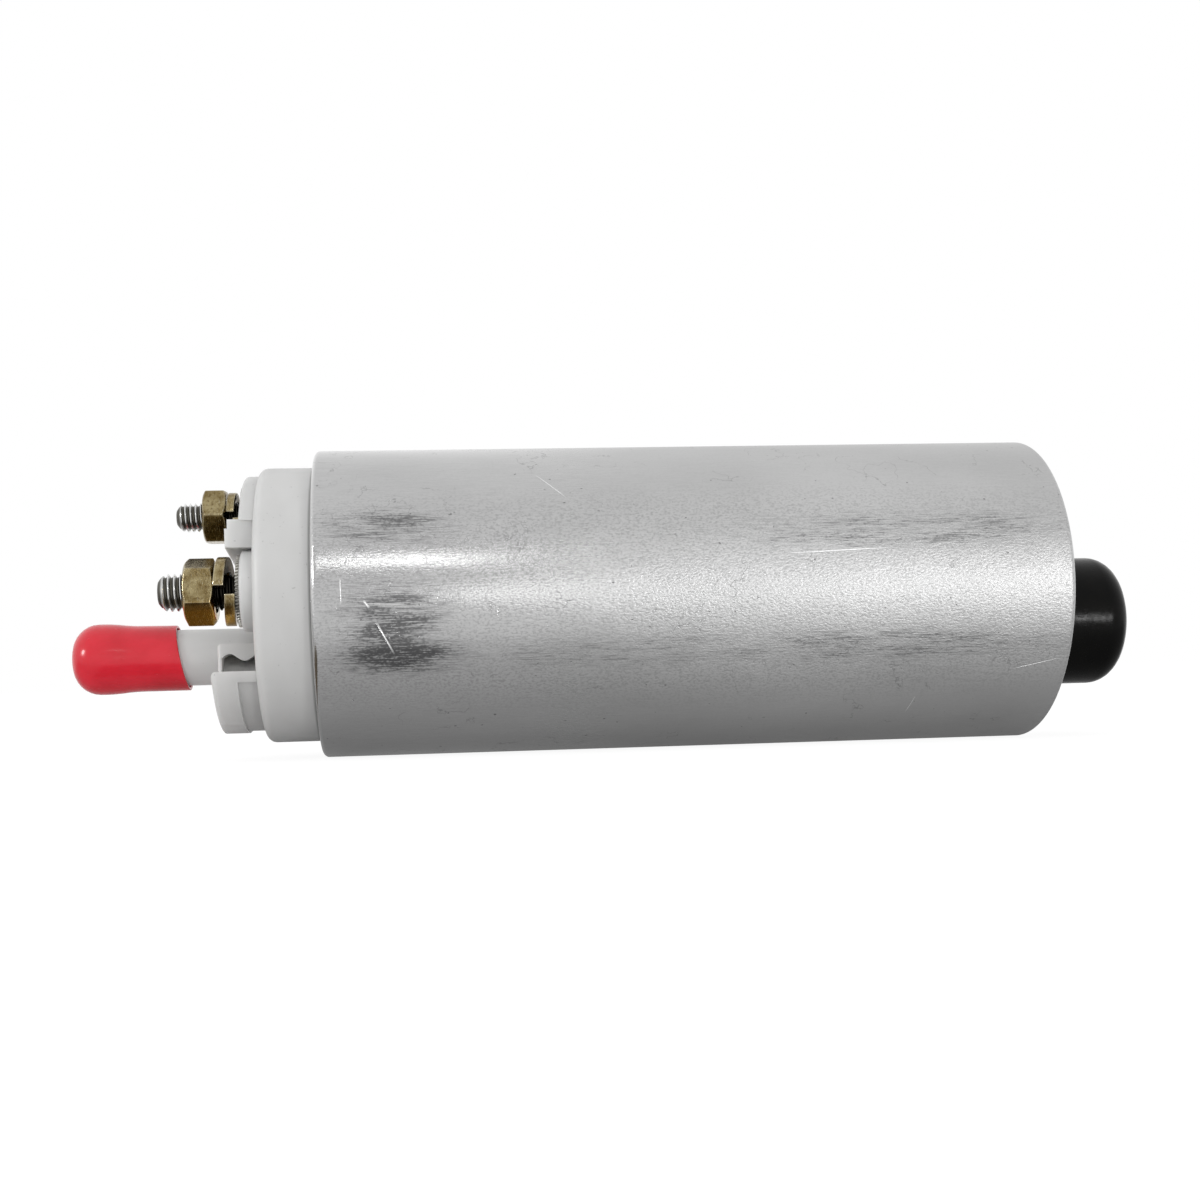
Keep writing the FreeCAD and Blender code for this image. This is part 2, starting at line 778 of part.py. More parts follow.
def build_outlet_cover():
    """The white moulded cover with the outlet tube, terminals and valve block."""
    groove = "stack_start + outlet_seal_depth"
    drum = turned(
        "drum",
        [
            ("cover_face", "0"),
            ("cover_face", "drum_radius"),
            ("stack_start", "drum_radius"),
            ("stack_start", "insert_radius"),
            (groove, "insert_radius"),
            (groove, "insert_radius - 2 * seal_wire"),
            (f"{groove} + seal_groove", "insert_radius - 2 * seal_wire"),
            (f"{groove} + seal_groove", "insert_radius"),
            ("skirt_end", "insert_radius"),
            ("skirt_end", "cavity_radius"),
            ("cavity_face", "cavity_radius"),
            ("cavity_face", "boss_radius"),
            ("boss_end", "boss_radius"),
            ("boss_end", "bush_radius"),
            ("bush_start", "bush_radius"),
            ("bush_start", "0"),
        ],
        [("cover_face", "drum_radius", "drum_corner")],
    )
    middle = "(cover_face + cavity_face) / 2"
    tier = segment("tier", "tier_radius", "tier_level", True, "tier_face", middle, "form_corner")
    rib_slope = -math.degrees(math.atan(number("rib_fall")))
    tier.Placement = Placement(Vector(), Rotation(Vector(1, 0, 0), rib_slope))
    pad = turned(
        "plus_pad",
        [("pad_face", "0"), ("pad_face", "pad_radius"), (middle, "pad_radius"), (middle, "0")],
        [("pad_face", "pad_radius", "form_corner")],
    )
    place(pad, "0", "plus_side", "plus_level")

    def rib_outline(low, high):
        far_drop = "rib_fall * (rib_far - rib_near)"
        return [
            ("rib_near", low),
            ("rib_far", f"{low} - {far_drop}"),
            ("rib_far", f"{high} - {far_drop}"),
            ("rib_near", high),
        ]

    low_rib = raised("low_rib", rib_outline("rib_low", "rib_setback_level"), "rib_face", middle)
    high_rib = raised(
        "high_rib", rib_outline("rib_setback_level", "rib_top"), "rib_face + rib_setback", middle
    )
    tube = turned(
        "outlet_tube",
        [
            ("tube_end", "0"),
            ("tube_end", "tube_radius - bead_rise"),
            ("tube_end + bead_setback", "tube_radius + bead_rise"),
            ("tube_end + bead_setback + bead_length / 2", "tube_radius + bead_rise"),
            ("tube_end + bead_setback + bead_length", "tube_radius"),
            (middle, "tube_radius"),
            (middle, "0"),
        ],
    )
    place(tube, "0", "tube_side", "tube_level")
    block_outline = [
        ("block_near", "shroud_top - shroud_rim"),
        ("block_far", "shroud_top - shroud_rim"),
        ("block_far", "block_top"),
        ("block_near", "block_top"),
    ]
    block = raised("block", block_outline, "block_face", middle, "form_corner")
    shroud = segment(
        "shroud", "shroud_radius", "shroud_top", False, "block_face", middle, "shroud_corner"
    )
    recess = cut(
        "recess",
        rod("recess_outer", "cover_face - recess_width", "recess_width", "shroud_radius + overrun"),
        rod(
            "recess_inner",
            "cover_face - recess_width",
            "recess_width",
            "shroud_radius - shroud_recess",
        ),
        brick(
            "recess_top",
            ("cover_face - recess_width", "-can_radius", "shroud_top - shroud_rim"),
            ("cover_face", "can_radius", "can_radius"),
        ),
    )
    lip = cut(
        "lip",
        rod("lip_outer", "block_face", "block_reach", "shroud_radius + overrun"),
        rod("lip_inner", "block_face", "block_reach", "shroud_radius - lip_setback"),
        brick(
            "lip_top",
            ("block_face", "-can_radius", "lip_level"),
            ("cover_face", "can_radius", "can_radius"),
        ),
    )
    relief_boss = rod(
        "relief_boss", middle, "relief_seat + relief_land - " + middle, "relief_boss",
        "relief_side", "relief_level",
    )
    solid = fuse(
        "cover_forms", drum, tier, pad, low_rib, high_rib, tube, block, shroud, relief_boss
    )
    spot = "minus_star_radius + spot_gap"
    tools = [
        recess,
        lip,
        wavy_window(),
        rod("minus_spot", "rib_face - overrun", "tier_face - rib_face + overrun", spot,
            "minus_side", "minus_level"),
        rod("plus_hole", "pad_face - overrun", "cavity_face - pad_face + 2 * overrun",
            "plus_radius", "plus_side", "plus_level"),
        rod("minus_hole", "tier_face - overrun", "cavity_face - tier_face + 2 * overrun",
            "minus_radius", "minus_side", "minus_level"),
        rod("outlet_bore", "tube_end - overrun", "check_end - tube_end + 2 * overrun",
            "tube_bore", "tube_side", "tube_level"),
        rod("check_chamber", "check_end", "cavity_face - check_end + overrun", "check_bore",
            "tube_side", "tube_level"),
        rod("relief_chamber", "block_face - overrun", "relief_seat - block_face + overrun",
            "relief_bore", "relief_side", "relief_level"),
        rod("relief_passage", "relief_seat - overrun", "relief_land + 2 * overrun",
            "relief_throat", "relief_side", "relief_level"),
    ]
    node(cut("outlet_cover", solid, *tools), "outlet_cover")


def wavy_window():
    """The vent in the block's near side, with a wave along its upper edge."""
    left = number("block_face + window_setback")
    right = number("cover_face")
    low, middle = number("window_low"), number("window_middle")
    wave, peak = number("window_wave"), left + number("window_peak")
    period = number("window_period")
    near = number("block_near - overrun")
    steps = int(number("wave_steps"))
    top = []
    for step in range(steps + 1):
        x = right + (left - right) * step / steps
        z = middle + wave * math.cos(2 * math.pi * (x - peak) / period)
        top.append(Vector(x, near, z))
    curve = Part.BSplineCurve()
    curve.interpolate(Points=top)
    sides = Part.makePolygon([top[-1], Vector(left, near, low), Vector(right, near, low), top[0]])
    face = Part.Face(Part.Wire([curve.toShape(), *sides.Edges]))
    vent = document.addObject("Part::Feature", "window")
    vent.Shape = face.extrude(Vector(0, number("relief_side") - near, 0))
    return vent


def build_terminal(sign, pole):
    """One terminal: a stud moulded into the cover, its washers and its nut.

    Free thread is drawn at its outer radius. Where the nut holds it, stud and nut
    meet at the thread's pitch radius.
    """
    side, level, radius = f"{sign}_side", f"{sign}_level", f"{sign}_radius"
    pitch_radius = f"{sign}_pitch_radius"
    reach_end = f"cover_face - {sign}_reach"
    stud = turned(
        f"{sign}_stud",
        [
            (reach_end, "0"),
            (reach_end, f"{radius} - stud_chamfer"),
            (f"{reach_end} + stud_chamfer", radius),
            (f"{sign}_nut_face - thread_gap", radius),
            (f"{sign}_nut_face - thread_gap", pitch_radius),
            (f"{sign}_lock_face", pitch_radius),
            (f"{sign}_lock_face", radius),
            ("cavity_face", radius),
            ("cavity_face", f"{sign}_head_radius"),
            ("cavity_face + stud_head", f"{sign}_head_radius"),
            ("cavity_face + stud_head", "0"),
        ],
    )
    place(stud, "0", side, level)
    node(stud, f"{pole}_stud")

    flats = raised(
        f"{sign}_flats",
        hexagon(f"{sign}_flats", f"{sign}_nut_angle"),
        f"{sign}_nut_face",
        f"{sign}_lock_face",
    )
    corner = f"{sign}_flats / 2 / cos(30)"
    dome = turned(
        f"{sign}_dome",
        [
            (f"{sign}_nut_face", "0"),
            (f"{sign}_nut_face", f"{sign}_flats / 2 * nut_face_share"),
            (f"{sign}_nut_face + {corner} * nut_bevel", corner),
            (f"{sign}_lock_face - {corner} * nut_bevel", corner),
            (f"{sign}_lock_face", f"{sign}_flats / 2 * nut_face_share"),
            (f"{sign}_lock_face", "0"),
        ],
    )
    blank = common(f"{sign}_nut_blank", flats, dome)
    hole = rod(f"{sign}_nut_hole", f"{sign}_nut_face", f"{sign}_nut", pitch_radius)
    nut = cut(f"{sign}_nut_part", blank, hole)
    place(nut, "0", side, level)
    node(nut, f"{pole}_nut")

    spot = Vector(number(f"{sign}_lock_face"), number(side), number(level))
    lock = split_washer(
        f"{sign}_lock",
        f"{sign}_lock_radius",
        f"{radius} + washer_gap",
        f"{sign}_lock_thick",
        f"{sign}_lock_rise",
        Placement(spot, Rotation(Vector(1, 0, 0), -number("washer_cut_angle") / 2)),
    )
    node(lock, f"{pole}_lock_washer")
    star = star_washer(
        f"{sign}_star",
        f"{sign}_star_radius",
        f"{radius} + washer_gap",
        f"{sign}_star_face",
        side,
        level,
    )
    node(star, f"{pole}_serrated_washer")


def build_check_valve():
    """The valve that keeps pressure in the line: seat, poppet and spring."""
    place_at = ("0", "tube_side", "tube_level")
    seat_start = "cavity_face - check_seat_length"
    seat = cut(
        "check_seat",
        rod("seat_blank", seat_start, "check_seat_length", "check_bore", *place_at[1:]),
        rod("seat_hole", seat_start, "check_seat_length", "check_seat_bore", *place_at[1:]),
    )
    node(seat, "check_valve_seat")
    face = f"{seat_start} - valve_gap"
    back = f"{face} - poppet_thick"
    poppet = turned(
        "poppet",
        [
            (f"{back} - poppet_stem_length", "0"),
            (f"{back} - poppet_stem_length", "poppet_stem"),
            (back, "poppet_stem"),
            (back, "poppet_radius"),
            (face, "poppet_radius"),
            (face, "check_seat_bore - 4 * valve_gap"),
            (f"{face} + poppet_thick / 2", "poppet_stem"),
            (f"{face} + poppet_thick / 2", "0"),
        ],
    )
    place(poppet, *place_at)
    node(poppet, "check_valve_poppet")
    spring = coil(
        "check_coil",
        "(poppet_stem + check_bore) / 2",
        "check_wire",
        f"({back}) - check_end",
        "check_turns",
        Placement(
            Vector(number("check_end"), number("tube_side"), number("tube_level")), Rotation()
        ),
    )
    node(spring, "check_valve_spring")


def build_relief_valve():
    """The pressure relief valve: ball, spring and the cup that holds them."""
    side, level = "relief_side", "relief_level"
    drop = "sqrt(ball_radius * ball_radius - relief_throat * relief_throat)"
    middle = f"relief_seat - {drop} - valve_gap"
    ball = document.addObject("Part::Sphere", "ball")
    bind(ball, "Radius", "ball_radius")
    place(ball, middle, side, level)
    node(ball, "relief_ball")
    floor_end = "block_face + cup_floor"
    cup = cut(
        "relief_cup",
        rod("cup_blank", "block_face", "cup_length", "relief_bore", side, level),
        rod("cup_drill", "block_face", "cup_floor", "cup_drain", side, level),
        rod("cup_bore", floor_end, "cup_length - cup_floor", "relief_bore - cup_wall",
            side, level),
    )
    node(cup, "relief_valve_cup")
    spring = coil(
        "relief_coil",
        "ball_radius - relief_wire / 2",
        "relief_wire",
        f"{middle} - relief_spring_seat - ({floor_end})",
        "relief_turns",
        Placement(Vector(number(floor_end), number(side), number(level)), Rotation()),
    )
    node(spring, "relief_valve_spring")


def build_seals():
    """The two rubber rings between the can and its end covers."""
    places = {
        "outlet_cover_seal": "stack_start + outlet_seal_depth + seal_groove / 2",
        "inlet_cover_seal": "inlet_start + inlet_seal_depth + seal_groove / 2",
    }
    for name, x in places.items():
        ring = document.addObject("Part::Torus", name)
        ring.Placement = Placement(Vector(), ALONG_X)
        bind(ring, "Radius1", "insert_radius - seal_wire")
        bind(ring, "Radius2", "seal_wire - seal_squeeze / 2")
        place(ring, x)
        node(ring, name)


def build_brush_gear():
    """Brush holder, brushes, their springs and leads, and the two chokes."""
    inner = "commutator_radius + brush_run"
    half_slot = "(brush_width / 2 + brush_gap)"
    half_box = f"({half_slot} + box_wall)"
    flange = cut(
        "holder_flange",
        rod("holder_disc", "skirt_end", "holder_flange", "insert_radius"),
        rod("holder_centre", "skirt_end", "holder_flange", "holder_bore"),
    )
    boxes = []
    slots = []
    for name, low, high in (
        ("far", "holder_bore + box_inset", "box_reach"),
        ("near", "-box_reach", "-holder_bore - box_inset"),
    ):
        box_end = f"brush_middle + {half_box}"
        boxes.append(
            brick(
                f"{name}_box",
                ("holder_end - holder_flange / 2", low, f"-{half_box}"),
                (box_end, high, half_box),
            )
        )
        slot_low = "holder_bore - overrun" if name == "far" else "-box_reach + box_back"
        slot_high = "box_reach - box_back" if name == "far" else "-holder_bore + overrun"
        slots.append(
            brick(
                f"{name}_slot",
                (f"brush_middle - {half_slot}", slot_low, f"-{half_slot}"),
                (f"brush_middle + {half_slot}", slot_high, half_slot),
            )
        )
        lead_low = "lead_ring - lead_slot / 2"
        lead_high = "lead_ring + lead_travel + lead_slot / 2"
        if name == "near":
            lead_low, lead_high = f"-({lead_high})", f"-({lead_low})"
        slots.append(
            brick(
                f"{name}_lead_slot",
                ("skirt_end", lead_low, "-lead_slot / 2"),
                ("brush_middle", lead_high, "lead_slot / 2"),
            )
        )
    for name, centre in (("upper", "180"), ("lower", "0")):
        slots.append(
            cut(
                f"{name}_flow",
                wedge(f"{name}_flow_outer", "skirt_end", "holder_flange", "cavity_radius",
                      f"{centre} - flow_angle / 2", "flow_angle"),
                rod(f"{name}_flow_inner", "skirt_end", "holder_flange",
                    "holder_bore + box_wall"),
            )
        )
    holder = cut("brush_holder", fuse("holder_forms", flange, *boxes), *slots)
    node(holder, "brush_holder")

    for pole, sign in (("positive", -1), ("negative", 1)):
        start = f"{sign} * ({inner} - overrun)"
        end = f"{sign} * brush_seat"
        low, high = (start, end) if sign > 0 else (end, start)
        block = brick(
            f"{pole}_brush_block",
            ("brush_middle - brush_width / 2", low, "-brush_width / 2"),
            ("brush_middle + brush_width / 2", high, "brush_width / 2"),
        )
        bed = rod(
            f"{pole}_brush_bed", "brush_middle - brush_width", "2 * brush_width", inner
        )
        node(cut(f"{pole}_brush_part", block, bed), f"{pole}_brush")
        spring = coil(
            f"{pole}_brush_coil",
            "brush_width / 2 - brush_wire",
            "brush_wire",
            "brush_spring_length",
            "brush_turns",
            Placement(
                Vector(number("brush_middle"), sign * number("brush_seat"), 0),
                Rotation(Vector(0, 0, 1), 90 * sign),
            ),
        )
        node(spring, f"{pole}_brush_spring")

    for pole, sign in (("positive", "plus"), ("negative", "minus")):
        start = "cavity_face + stud_head"
        side, level = f"{sign}_side", f"{sign}_level"
        core = rod(f"{sign}_ferrite", start, f"skirt_end - ({start})", "choke_radius",
                   side, level)
        winding = rod(
            f"{sign}_choke_coil",
            f"{start} + choke_collar",
            f"skirt_end - ({start}) - 2 * choke_collar",
            "choke_coil",
            side,
            level,
        )
        node(fuse(f"{sign}_choke", core, winding), f"{pole}_choke")
    build_leads()


def build_leads():
    """The copper tails that join the chokes to the brushes' sides."""
    brush_side = number("brush_middle - brush_width / 2 - brush_gap / 2")
    far_end = number("skirt_end - lead_depth")
    ring, bend = number("lead_ring"), number("lead_bend")
    straight = Part.LineSegment(Vector(brush_side, -ring, 0), Vector(far_end, -ring, 0))
    paths = {"positive_lead": Part.Wire([straight.toShape()])}

    corner = Vector(far_end + bend, ring, 0)
    past_corner = Vector(far_end, ring, bend)
    first = Part.LineSegment(Vector(brush_side, ring, 0), corner).toShape()
    elbow = arc_from(corner, Vector(-1, 0, 0), past_corner)
    angle = math.radians(number("lead_angle"))
    end = Vector(far_end, ring * math.cos(angle), bend + ring * math.sin(angle))
    around = arc_from(past_corner, Vector(0, 0, 1), end)
    paths["negative_lead"] = Part.Wire([first, elbow, around])
    for name, path in paths.items():
        lead = document.addObject("Part::Feature", f"{name}_part")
        lead.Shape = swept(path, round_section(path, number("lead_radius")))
        node(lead, name)


def build_armature():
    """Everything that turns with the shaft, except the pump's rotors."""
    shaft = turned(
        "shaft",
        [
            ("shaft_start", "0"),
            ("shaft_start", "shaft_radius - shaft_end_gap"),
            ("shaft_start + shaft_end_gap", "shaft_radius"),
            ("shaft_end - shaft_end_gap", "shaft_radius"),
            ("shaft_end", "shaft_radius - shaft_end_gap"),
            ("shaft_end", "0"),
        ],
    )
    node(shaft, "armature_shaft")

    washer = cut(
        "thrust_washer_part",
        rod("thrust_disc", "washer_start", "washer_thick", "washer_radius"),
        rod("thrust_hole", "washer_start", "washer_thick", "shaft_radius"),
    )
    node(washer, "thrust_washer")

    riser_start = "commutator_end - riser_length"
    barrel = turned(
        "commutator_body",
        [
            ("commutator_start", "shaft_radius"),
            ("commutator_start", "commutator_radius"),
            (riser_start, "commutator_radius"),
            (riser_start, "riser_radius"),
            ("commutator_end", "riser_radius"),
            ("commutator_end", "shaft_radius"),
        ],
    )
    slit = [
        ("-bar_slot / 2", "commutator_radius - bar_depth"),
        ("bar_slot / 2", "commutator_radius - bar_depth"),
        ("bar_slot / 2", "riser_radius + bar_depth"),
        ("-bar_slot / 2", "riser_radius + bar_depth"),
    ]
    notched("bars", barrel, slit, "commutator_start", "commutator_end", "bar_count")
    node(barrel, "commutator")

    core = turned(
        "core_body",
        [
            ("core_start", "shaft_radius"),
            ("core_start", "core_radius"),
            ("core_end", "core_radius"),
            ("core_end", "shaft_radius"),
        ],
    )
    mouth = [
        ("-slot_mouth / 2", "slot_ring"),
        ("slot_mouth / 2", "slot_ring"),
        ("slot_mouth / 2", "core_radius + slot_mouth"),
        ("-slot_mouth / 2", "core_radius + slot_mouth"),
    ]
    notched(
        "core_slots", core, mouth, "core_start", "core_end", "bar_count",
        circle=("slot_ring", "slot_radius"),
    )
    node(core, "armature_core")

    forms = []
    for name, start, end in (
        ("left", "core_start - winding_overhang", "core_start"),
        ("right", "core_end", "core_end + winding_overhang"),
    ):
        outline = [
            (start, "winding_inner"),
            (start, "winding_outer"),
            (end, "winding_outer"),
            (end, "winding_inner"),
        ]
        outer_end = start if name == "left" else end
        rounds = [
            (outer_end, "winding_outer", "winding_corner"),
            (outer_end, "winding_inner", "winding_corner"),
        ]
        forms.append(turned(f"{name}_bundle", outline, rounds))
    for index in range(int(SIZES["bar_count"])):
        angle = f"(360 / bar_count * {index})"
        forms.append(
            rod(
                f"slot_wires_{index}",
                "core_start - winding_overhang / 2",
                "core_length + winding_overhang",
                "slot_radius - wire_gap",
                f"slot_ring * sin{angle}",
                f"slot_ring * cos{angle}",
            )
        )
    node(fuse("windings", *forms), "armature_windings")

    hub = cut(
        "coupling_hub",
        rod("hub_disc", "coupling_start", "coupling_length", "coupling_radius"),
        rod("hub_hole", "coupling_start", "coupling_length", "shaft_radius"),
    )
    dogs = []
    for sign in (-1, 1):
        dogs.append(
            rod(
                f"dog_{sign + 1}",
                "coupling_end - coupling_length / 2",
                "dog_end - coupling_end + coupling_length / 2",
                "dog_radius",
                f"{sign} * dog_ring",
            )
        )
    node(fuse("coupling", hub, *dogs), "drive_coupling")


def build_bearings():
    """The sintered bushes at the two ends of the shaft."""
    for name, start in (("outlet_bush", "bush_start"), ("inlet_bush", "inlet_start")):
        length = "bush_length - shaft_end_gap" if name == "outlet_bush" else "bush_length"
        first = f"{start} + shaft_end_gap" if name == "outlet_bush" else start
        bush = cut(
            f"{name}_part",
            rod(f"{name}_blank", first, length, "bush_radius"),
            rod(f"{name}_hole", first, length, "shaft_radius + shaft_gap"),
        )
        node(bush, name)


def build_field():
    """The steel flux ring, its two magnets and the clips that hold them."""
    length = "plate_start - holder_end"
    ring = cut(
        "flux_ring_part",
        rod("flux_outer", "holder_end", length, "insert_radius"),
        rod("flux_inner", "holder_end", length, "flux_radius"),
    )
    node(ring, "flux_ring")
    for name, centre in (("upper_magnet", "180"), ("lower_magnet", "0")):
        magnet = cut(
            f"{name}_part",
            wedge(f"{name}_outer", "magnet_start", "magnet_length", "magnet_outer",
                  f"{centre} - magnet_angle / 2", "magnet_angle"),
            rod(f"{name}_inner", "magnet_start", "magnet_length", "magnet_inner"),
        )
        node(magnet, name)
    clips = []
    clip_start = "magnet_start + clip_inset"
    clip_length = "magnet_length - 2 * clip_inset"
    for name, centre in (("far", "90"), ("near", "270")):
        sectors = [
            ("web", "clip_thick", f"{centre} - clip_angle / 2", "clip_angle"),
            ("leg_a", "clip_leg", f"{centre} - clip_angle / 2", "clip_leg_angle"),
            ("leg_b", "clip_leg", f"{centre} + clip_angle / 2 - clip_leg_angle",
             "clip_leg_angle"),
        ]
        pieces = []
        for kind, depth, turn, sweep in sectors:
            title = f"{name}_{kind}"
            pieces.append(
                cut(
                    title,
                    wedge(f"{title}_outer", clip_start, clip_length, "magnet_outer",
                          turn, sweep),
                    rod(f"{title}_inner", clip_start, clip_length,
                        f"magnet_outer - {depth}"),
                )
            )
        clips.append(fuse(f"{name}_clip", *pieces))
    node(group("clips", clips), "magnet_clips")


def screw_places():
    """Where the pump's screws stand, as (y, z) formulas."""
    places = []
    for index in range(int(SIZES["screw_count"])):
        angle = f"(90 + 360 / screw_count * {index})"
        places.append((f"-screw_ring * sin{angle}", f"screw_ring * cos{angle}"))
    return places


def screw_holes(name, start, length, radius):
    """Drills for the pump's screws."""
    return [
        rod(f"{name}_{index}", start, length, radius, y, z)
        for index, (y, z) in enumerate(screw_places())
    ]


def port(name, start, length, centre):
    """A kidney-shaped port that follows the rotors' chambers."""
    return cut(
        name,
        wedge(f"{name}_outer", start, length, "port_outer", f"{centre} - port_angle / 2",
              "port_angle"),
        rod(f"{name}_inner", start, length, "port_inner"),
    )


def build_pump():
    """The gerotor pump: port plate, ring, two rotors and the screws."""
    plate = cut(
        "port_plate_part",
        rod("plate_disc", "plate_start", "plate_thick", "insert_radius"),
        rod("plate_hole", "plate_start", "plate_thick", "coupling_radius + coupling_gap"),
        port("outlet_port", "plate_start", "plate_thick", "180"),
        *screw_holes("plate_drill", "plate_start", "plate_thick", "screw_radius + screw_gap"),
    )
    node(plate, "port_plate")

    ring = cut(
        "rotor_ring_part",
        rod("ring_disc", "ring_start", "ring_width", "insert_radius"),
        rod("ring_bore", "ring_start", "ring_width", "rotor_radius + ring_gap", "eccentricity"),
        *screw_holes("ring_drill", "ring_start", "ring_width", "screw_radius + screw_gap"),
    )
    node(ring, "rotor_ring")

    rotor_start = "ring_start + rotor_gap"
    rotor_width = "ring_width - 2 * rotor_gap"
    teeth = int(number("inner_teeth"))
    node(inner_rotor(teeth, rotor_start, rotor_width), "inner_rotor")

    root = "lobe_ring + 2 * eccentricity - lobe_radius + root_gap"
    shell = cut(
        "outer_shell",
        rod("outer_blank", rotor_start, rotor_width, "rotor_radius", "eccentricity"),
        rod("outer_root", rotor_start, rotor_width, root, "eccentricity"),
    )
    lobes = []
    for index in range(teeth + 1):
        angle = f"(360 / (inner_teeth + 1) * {index})"
        lobes.append(
            rod(
                f"lobe_{index}",
                rotor_start,
                rotor_width,
                "lobe_radius",
                f"eccentricity + lobe_ring * cos{angle}",
                f"lobe_ring * sin{angle}",
            )
        )
    limit = rod("lobe_limit", rotor_start, rotor_width, "rotor_radius", "eccentricity")
    bounded = common("bounded_lobes", fuse("lobes", *lobes), limit)
    node(fuse("outer_rotor_part", shell, bounded), "outer_rotor")

    screws = []
    head_start = "plate_start - screw_head"
    shank_end = "inlet_start + screw_grip"
    for index, (y, z) in enumerate(screw_places()):
        head = rod(f"head_{index}", head_start, "screw_head", "screw_head_radius", y, z)
        shank = rod(f"shank_{index}", head_start, f"{shank_end} - ({head_start})",
                    "screw_radius", y, z)
        socket = rod(f"socket_{index}", head_start, "screw_head / 2", "screw_socket", y, z)
        screws.append(cut(f"screw_{index}", fuse(f"screw_blank_{index}", head, shank), socket))
    node(group("screws", screws), "pump_screws")


def inner_rotor(teeth, start, width):
    """The driven rotor, whose outline rolls round inside the outer rotor's lobes."""
    ring, shift = number("lobe_ring"), number("eccentricity")
    inset = number("lobe_radius") + number("mesh_gap")
    lobes = teeth + 1
    steps = int(number("rotor_steps")) * teeth
    spots = []
    for step in range(steps):
        angle = 2 * math.pi * step / steps
        across = ring * math.cos(angle) + shift * math.cos(lobes * angle)
        up = ring * math.sin(angle) + shift * math.sin(lobes * angle)
        run = -ring * math.sin(angle) - lobes * shift * math.sin(lobes * angle)
        rise = ring * math.cos(angle) + lobes * shift * math.cos(lobes * angle)
        speed = math.hypot(run, rise)
        spots.append(Vector(0, across - inset * rise / speed, up + inset * run / speed))
    outline = Part.BSplineCurve()
    outline.interpolate(Points=spots, PeriodicFlag=True)
    thick = number(width)
    ahead = Vector(1, 0, 0)
    shape = Part.Face(Part.Wire([outline.toShape()])).extrude(ahead * thick)
    bore = number("shaft_radius + rotor_bore_gap")
    shape = shape.cut(Part.makeCylinder(bore, thick, Vector(), ahead))
    hole = number("dog_radius + dog_gap")
    for sign in (-1, 1):
        spot = Vector(0, sign * number("dog_ring"), 0)
        shape = shape.cut(Part.makeCylinder(hole, thick, spot, ahead))
    rotor = document.addObject("Part::Feature", "inner_rotor_part")
    rotor.Shape = shape
    rotor.Placement = Placement(Vector(number(start), 0, 0), Rotation())
    return rotor


def build_inlet():
    """The inlet cover, the offset spigot pressed into it, and the strainer."""
    groove = "inlet_start + inlet_seal_depth"
    disc = turned(
        "inlet_disc",
        [
            ("inlet_start", "0"),
            ("inlet_start", "insert_radius"),
            (groove, "insert_radius"),
            (groove, "insert_radius - 2 * seal_wire"),
            (f"{groove} + seal_groove", "insert_radius - 2 * seal_wire"),
            (f"{groove} + seal_groove", "insert_radius"),
            ("stack_end", "insert_radius"),
            ("stack_end", "drum_radius"),
            ("nose_face", "drum_radius"),
            ("nose_face", "0"),
        ],
    )
    spigot_start = "nose_face - spigot_hold"
    spigot = turned(
        "spigot",
        [
            (spigot_start, "spigot_bore"),
            (spigot_start, "spigot_radius"),
            ("spigot_end", "spigot_radius"),
            ("spigot_end", "spigot_bore"),
        ],
        [("spigot_end", "spigot_radius", "form_corner")],
    )
    place(spigot, "0", "0", "inlet_level")
    node(spigot, "inlet_spigot")
    chamber_start = "inlet_start + inlet_floor"
    tools = [
        rod("inlet_chamber", chamber_start, f"{spigot_start} - ({chamber_start}) + overrun",
            "spigot_bore", "0", "inlet_level"),
        rod("spigot_seat", spigot_start, "spigot_hold + overrun", "spigot_radius",
            "0", "inlet_level"),
        rod("inlet_bush_hole", "inlet_start - overrun", "bush_length + overrun",
            "bush_radius"),
        port("inlet_port", "inlet_start", "inlet_floor + overrun", "0"),
    ]
    tools += screw_holes("inlet_drill", "inlet_start", "screw_grip", "screw_radius")
    node(cut("inlet_cover_part", disc, *tools), "inlet_cover")

    strainer_start = "spigot_end - strainer_setback - strainer_thick"
    blank = rod("strainer_disc", strainer_start, "strainer_thick", "spigot_bore",
                "0", "inlet_level")
    holes = [
        rod("strainer_pore", strainer_start, "strainer_thick", "strainer_pore",
            "0", "inlet_level")
    ]
    for ring in (1, 2, 3):
        for index in range(6 * ring):
            angle = f"({60 / ring} * {index})"
            reach = f"strainer_pitch * {ring}"
            holes.append(
                rod(
                    f"strainer_hole_{ring}_{index}",
                    strainer_start,
                    "strainer_thick",
                    "strainer_pore",
                    f"{reach} * cos{angle}",
                    f"inlet_level + {reach} * sin{angle}",
                )
            )
    mesh = group("strainer_holes", holes)
    node(cut("strainer", blank, mesh), "inlet_strainer")


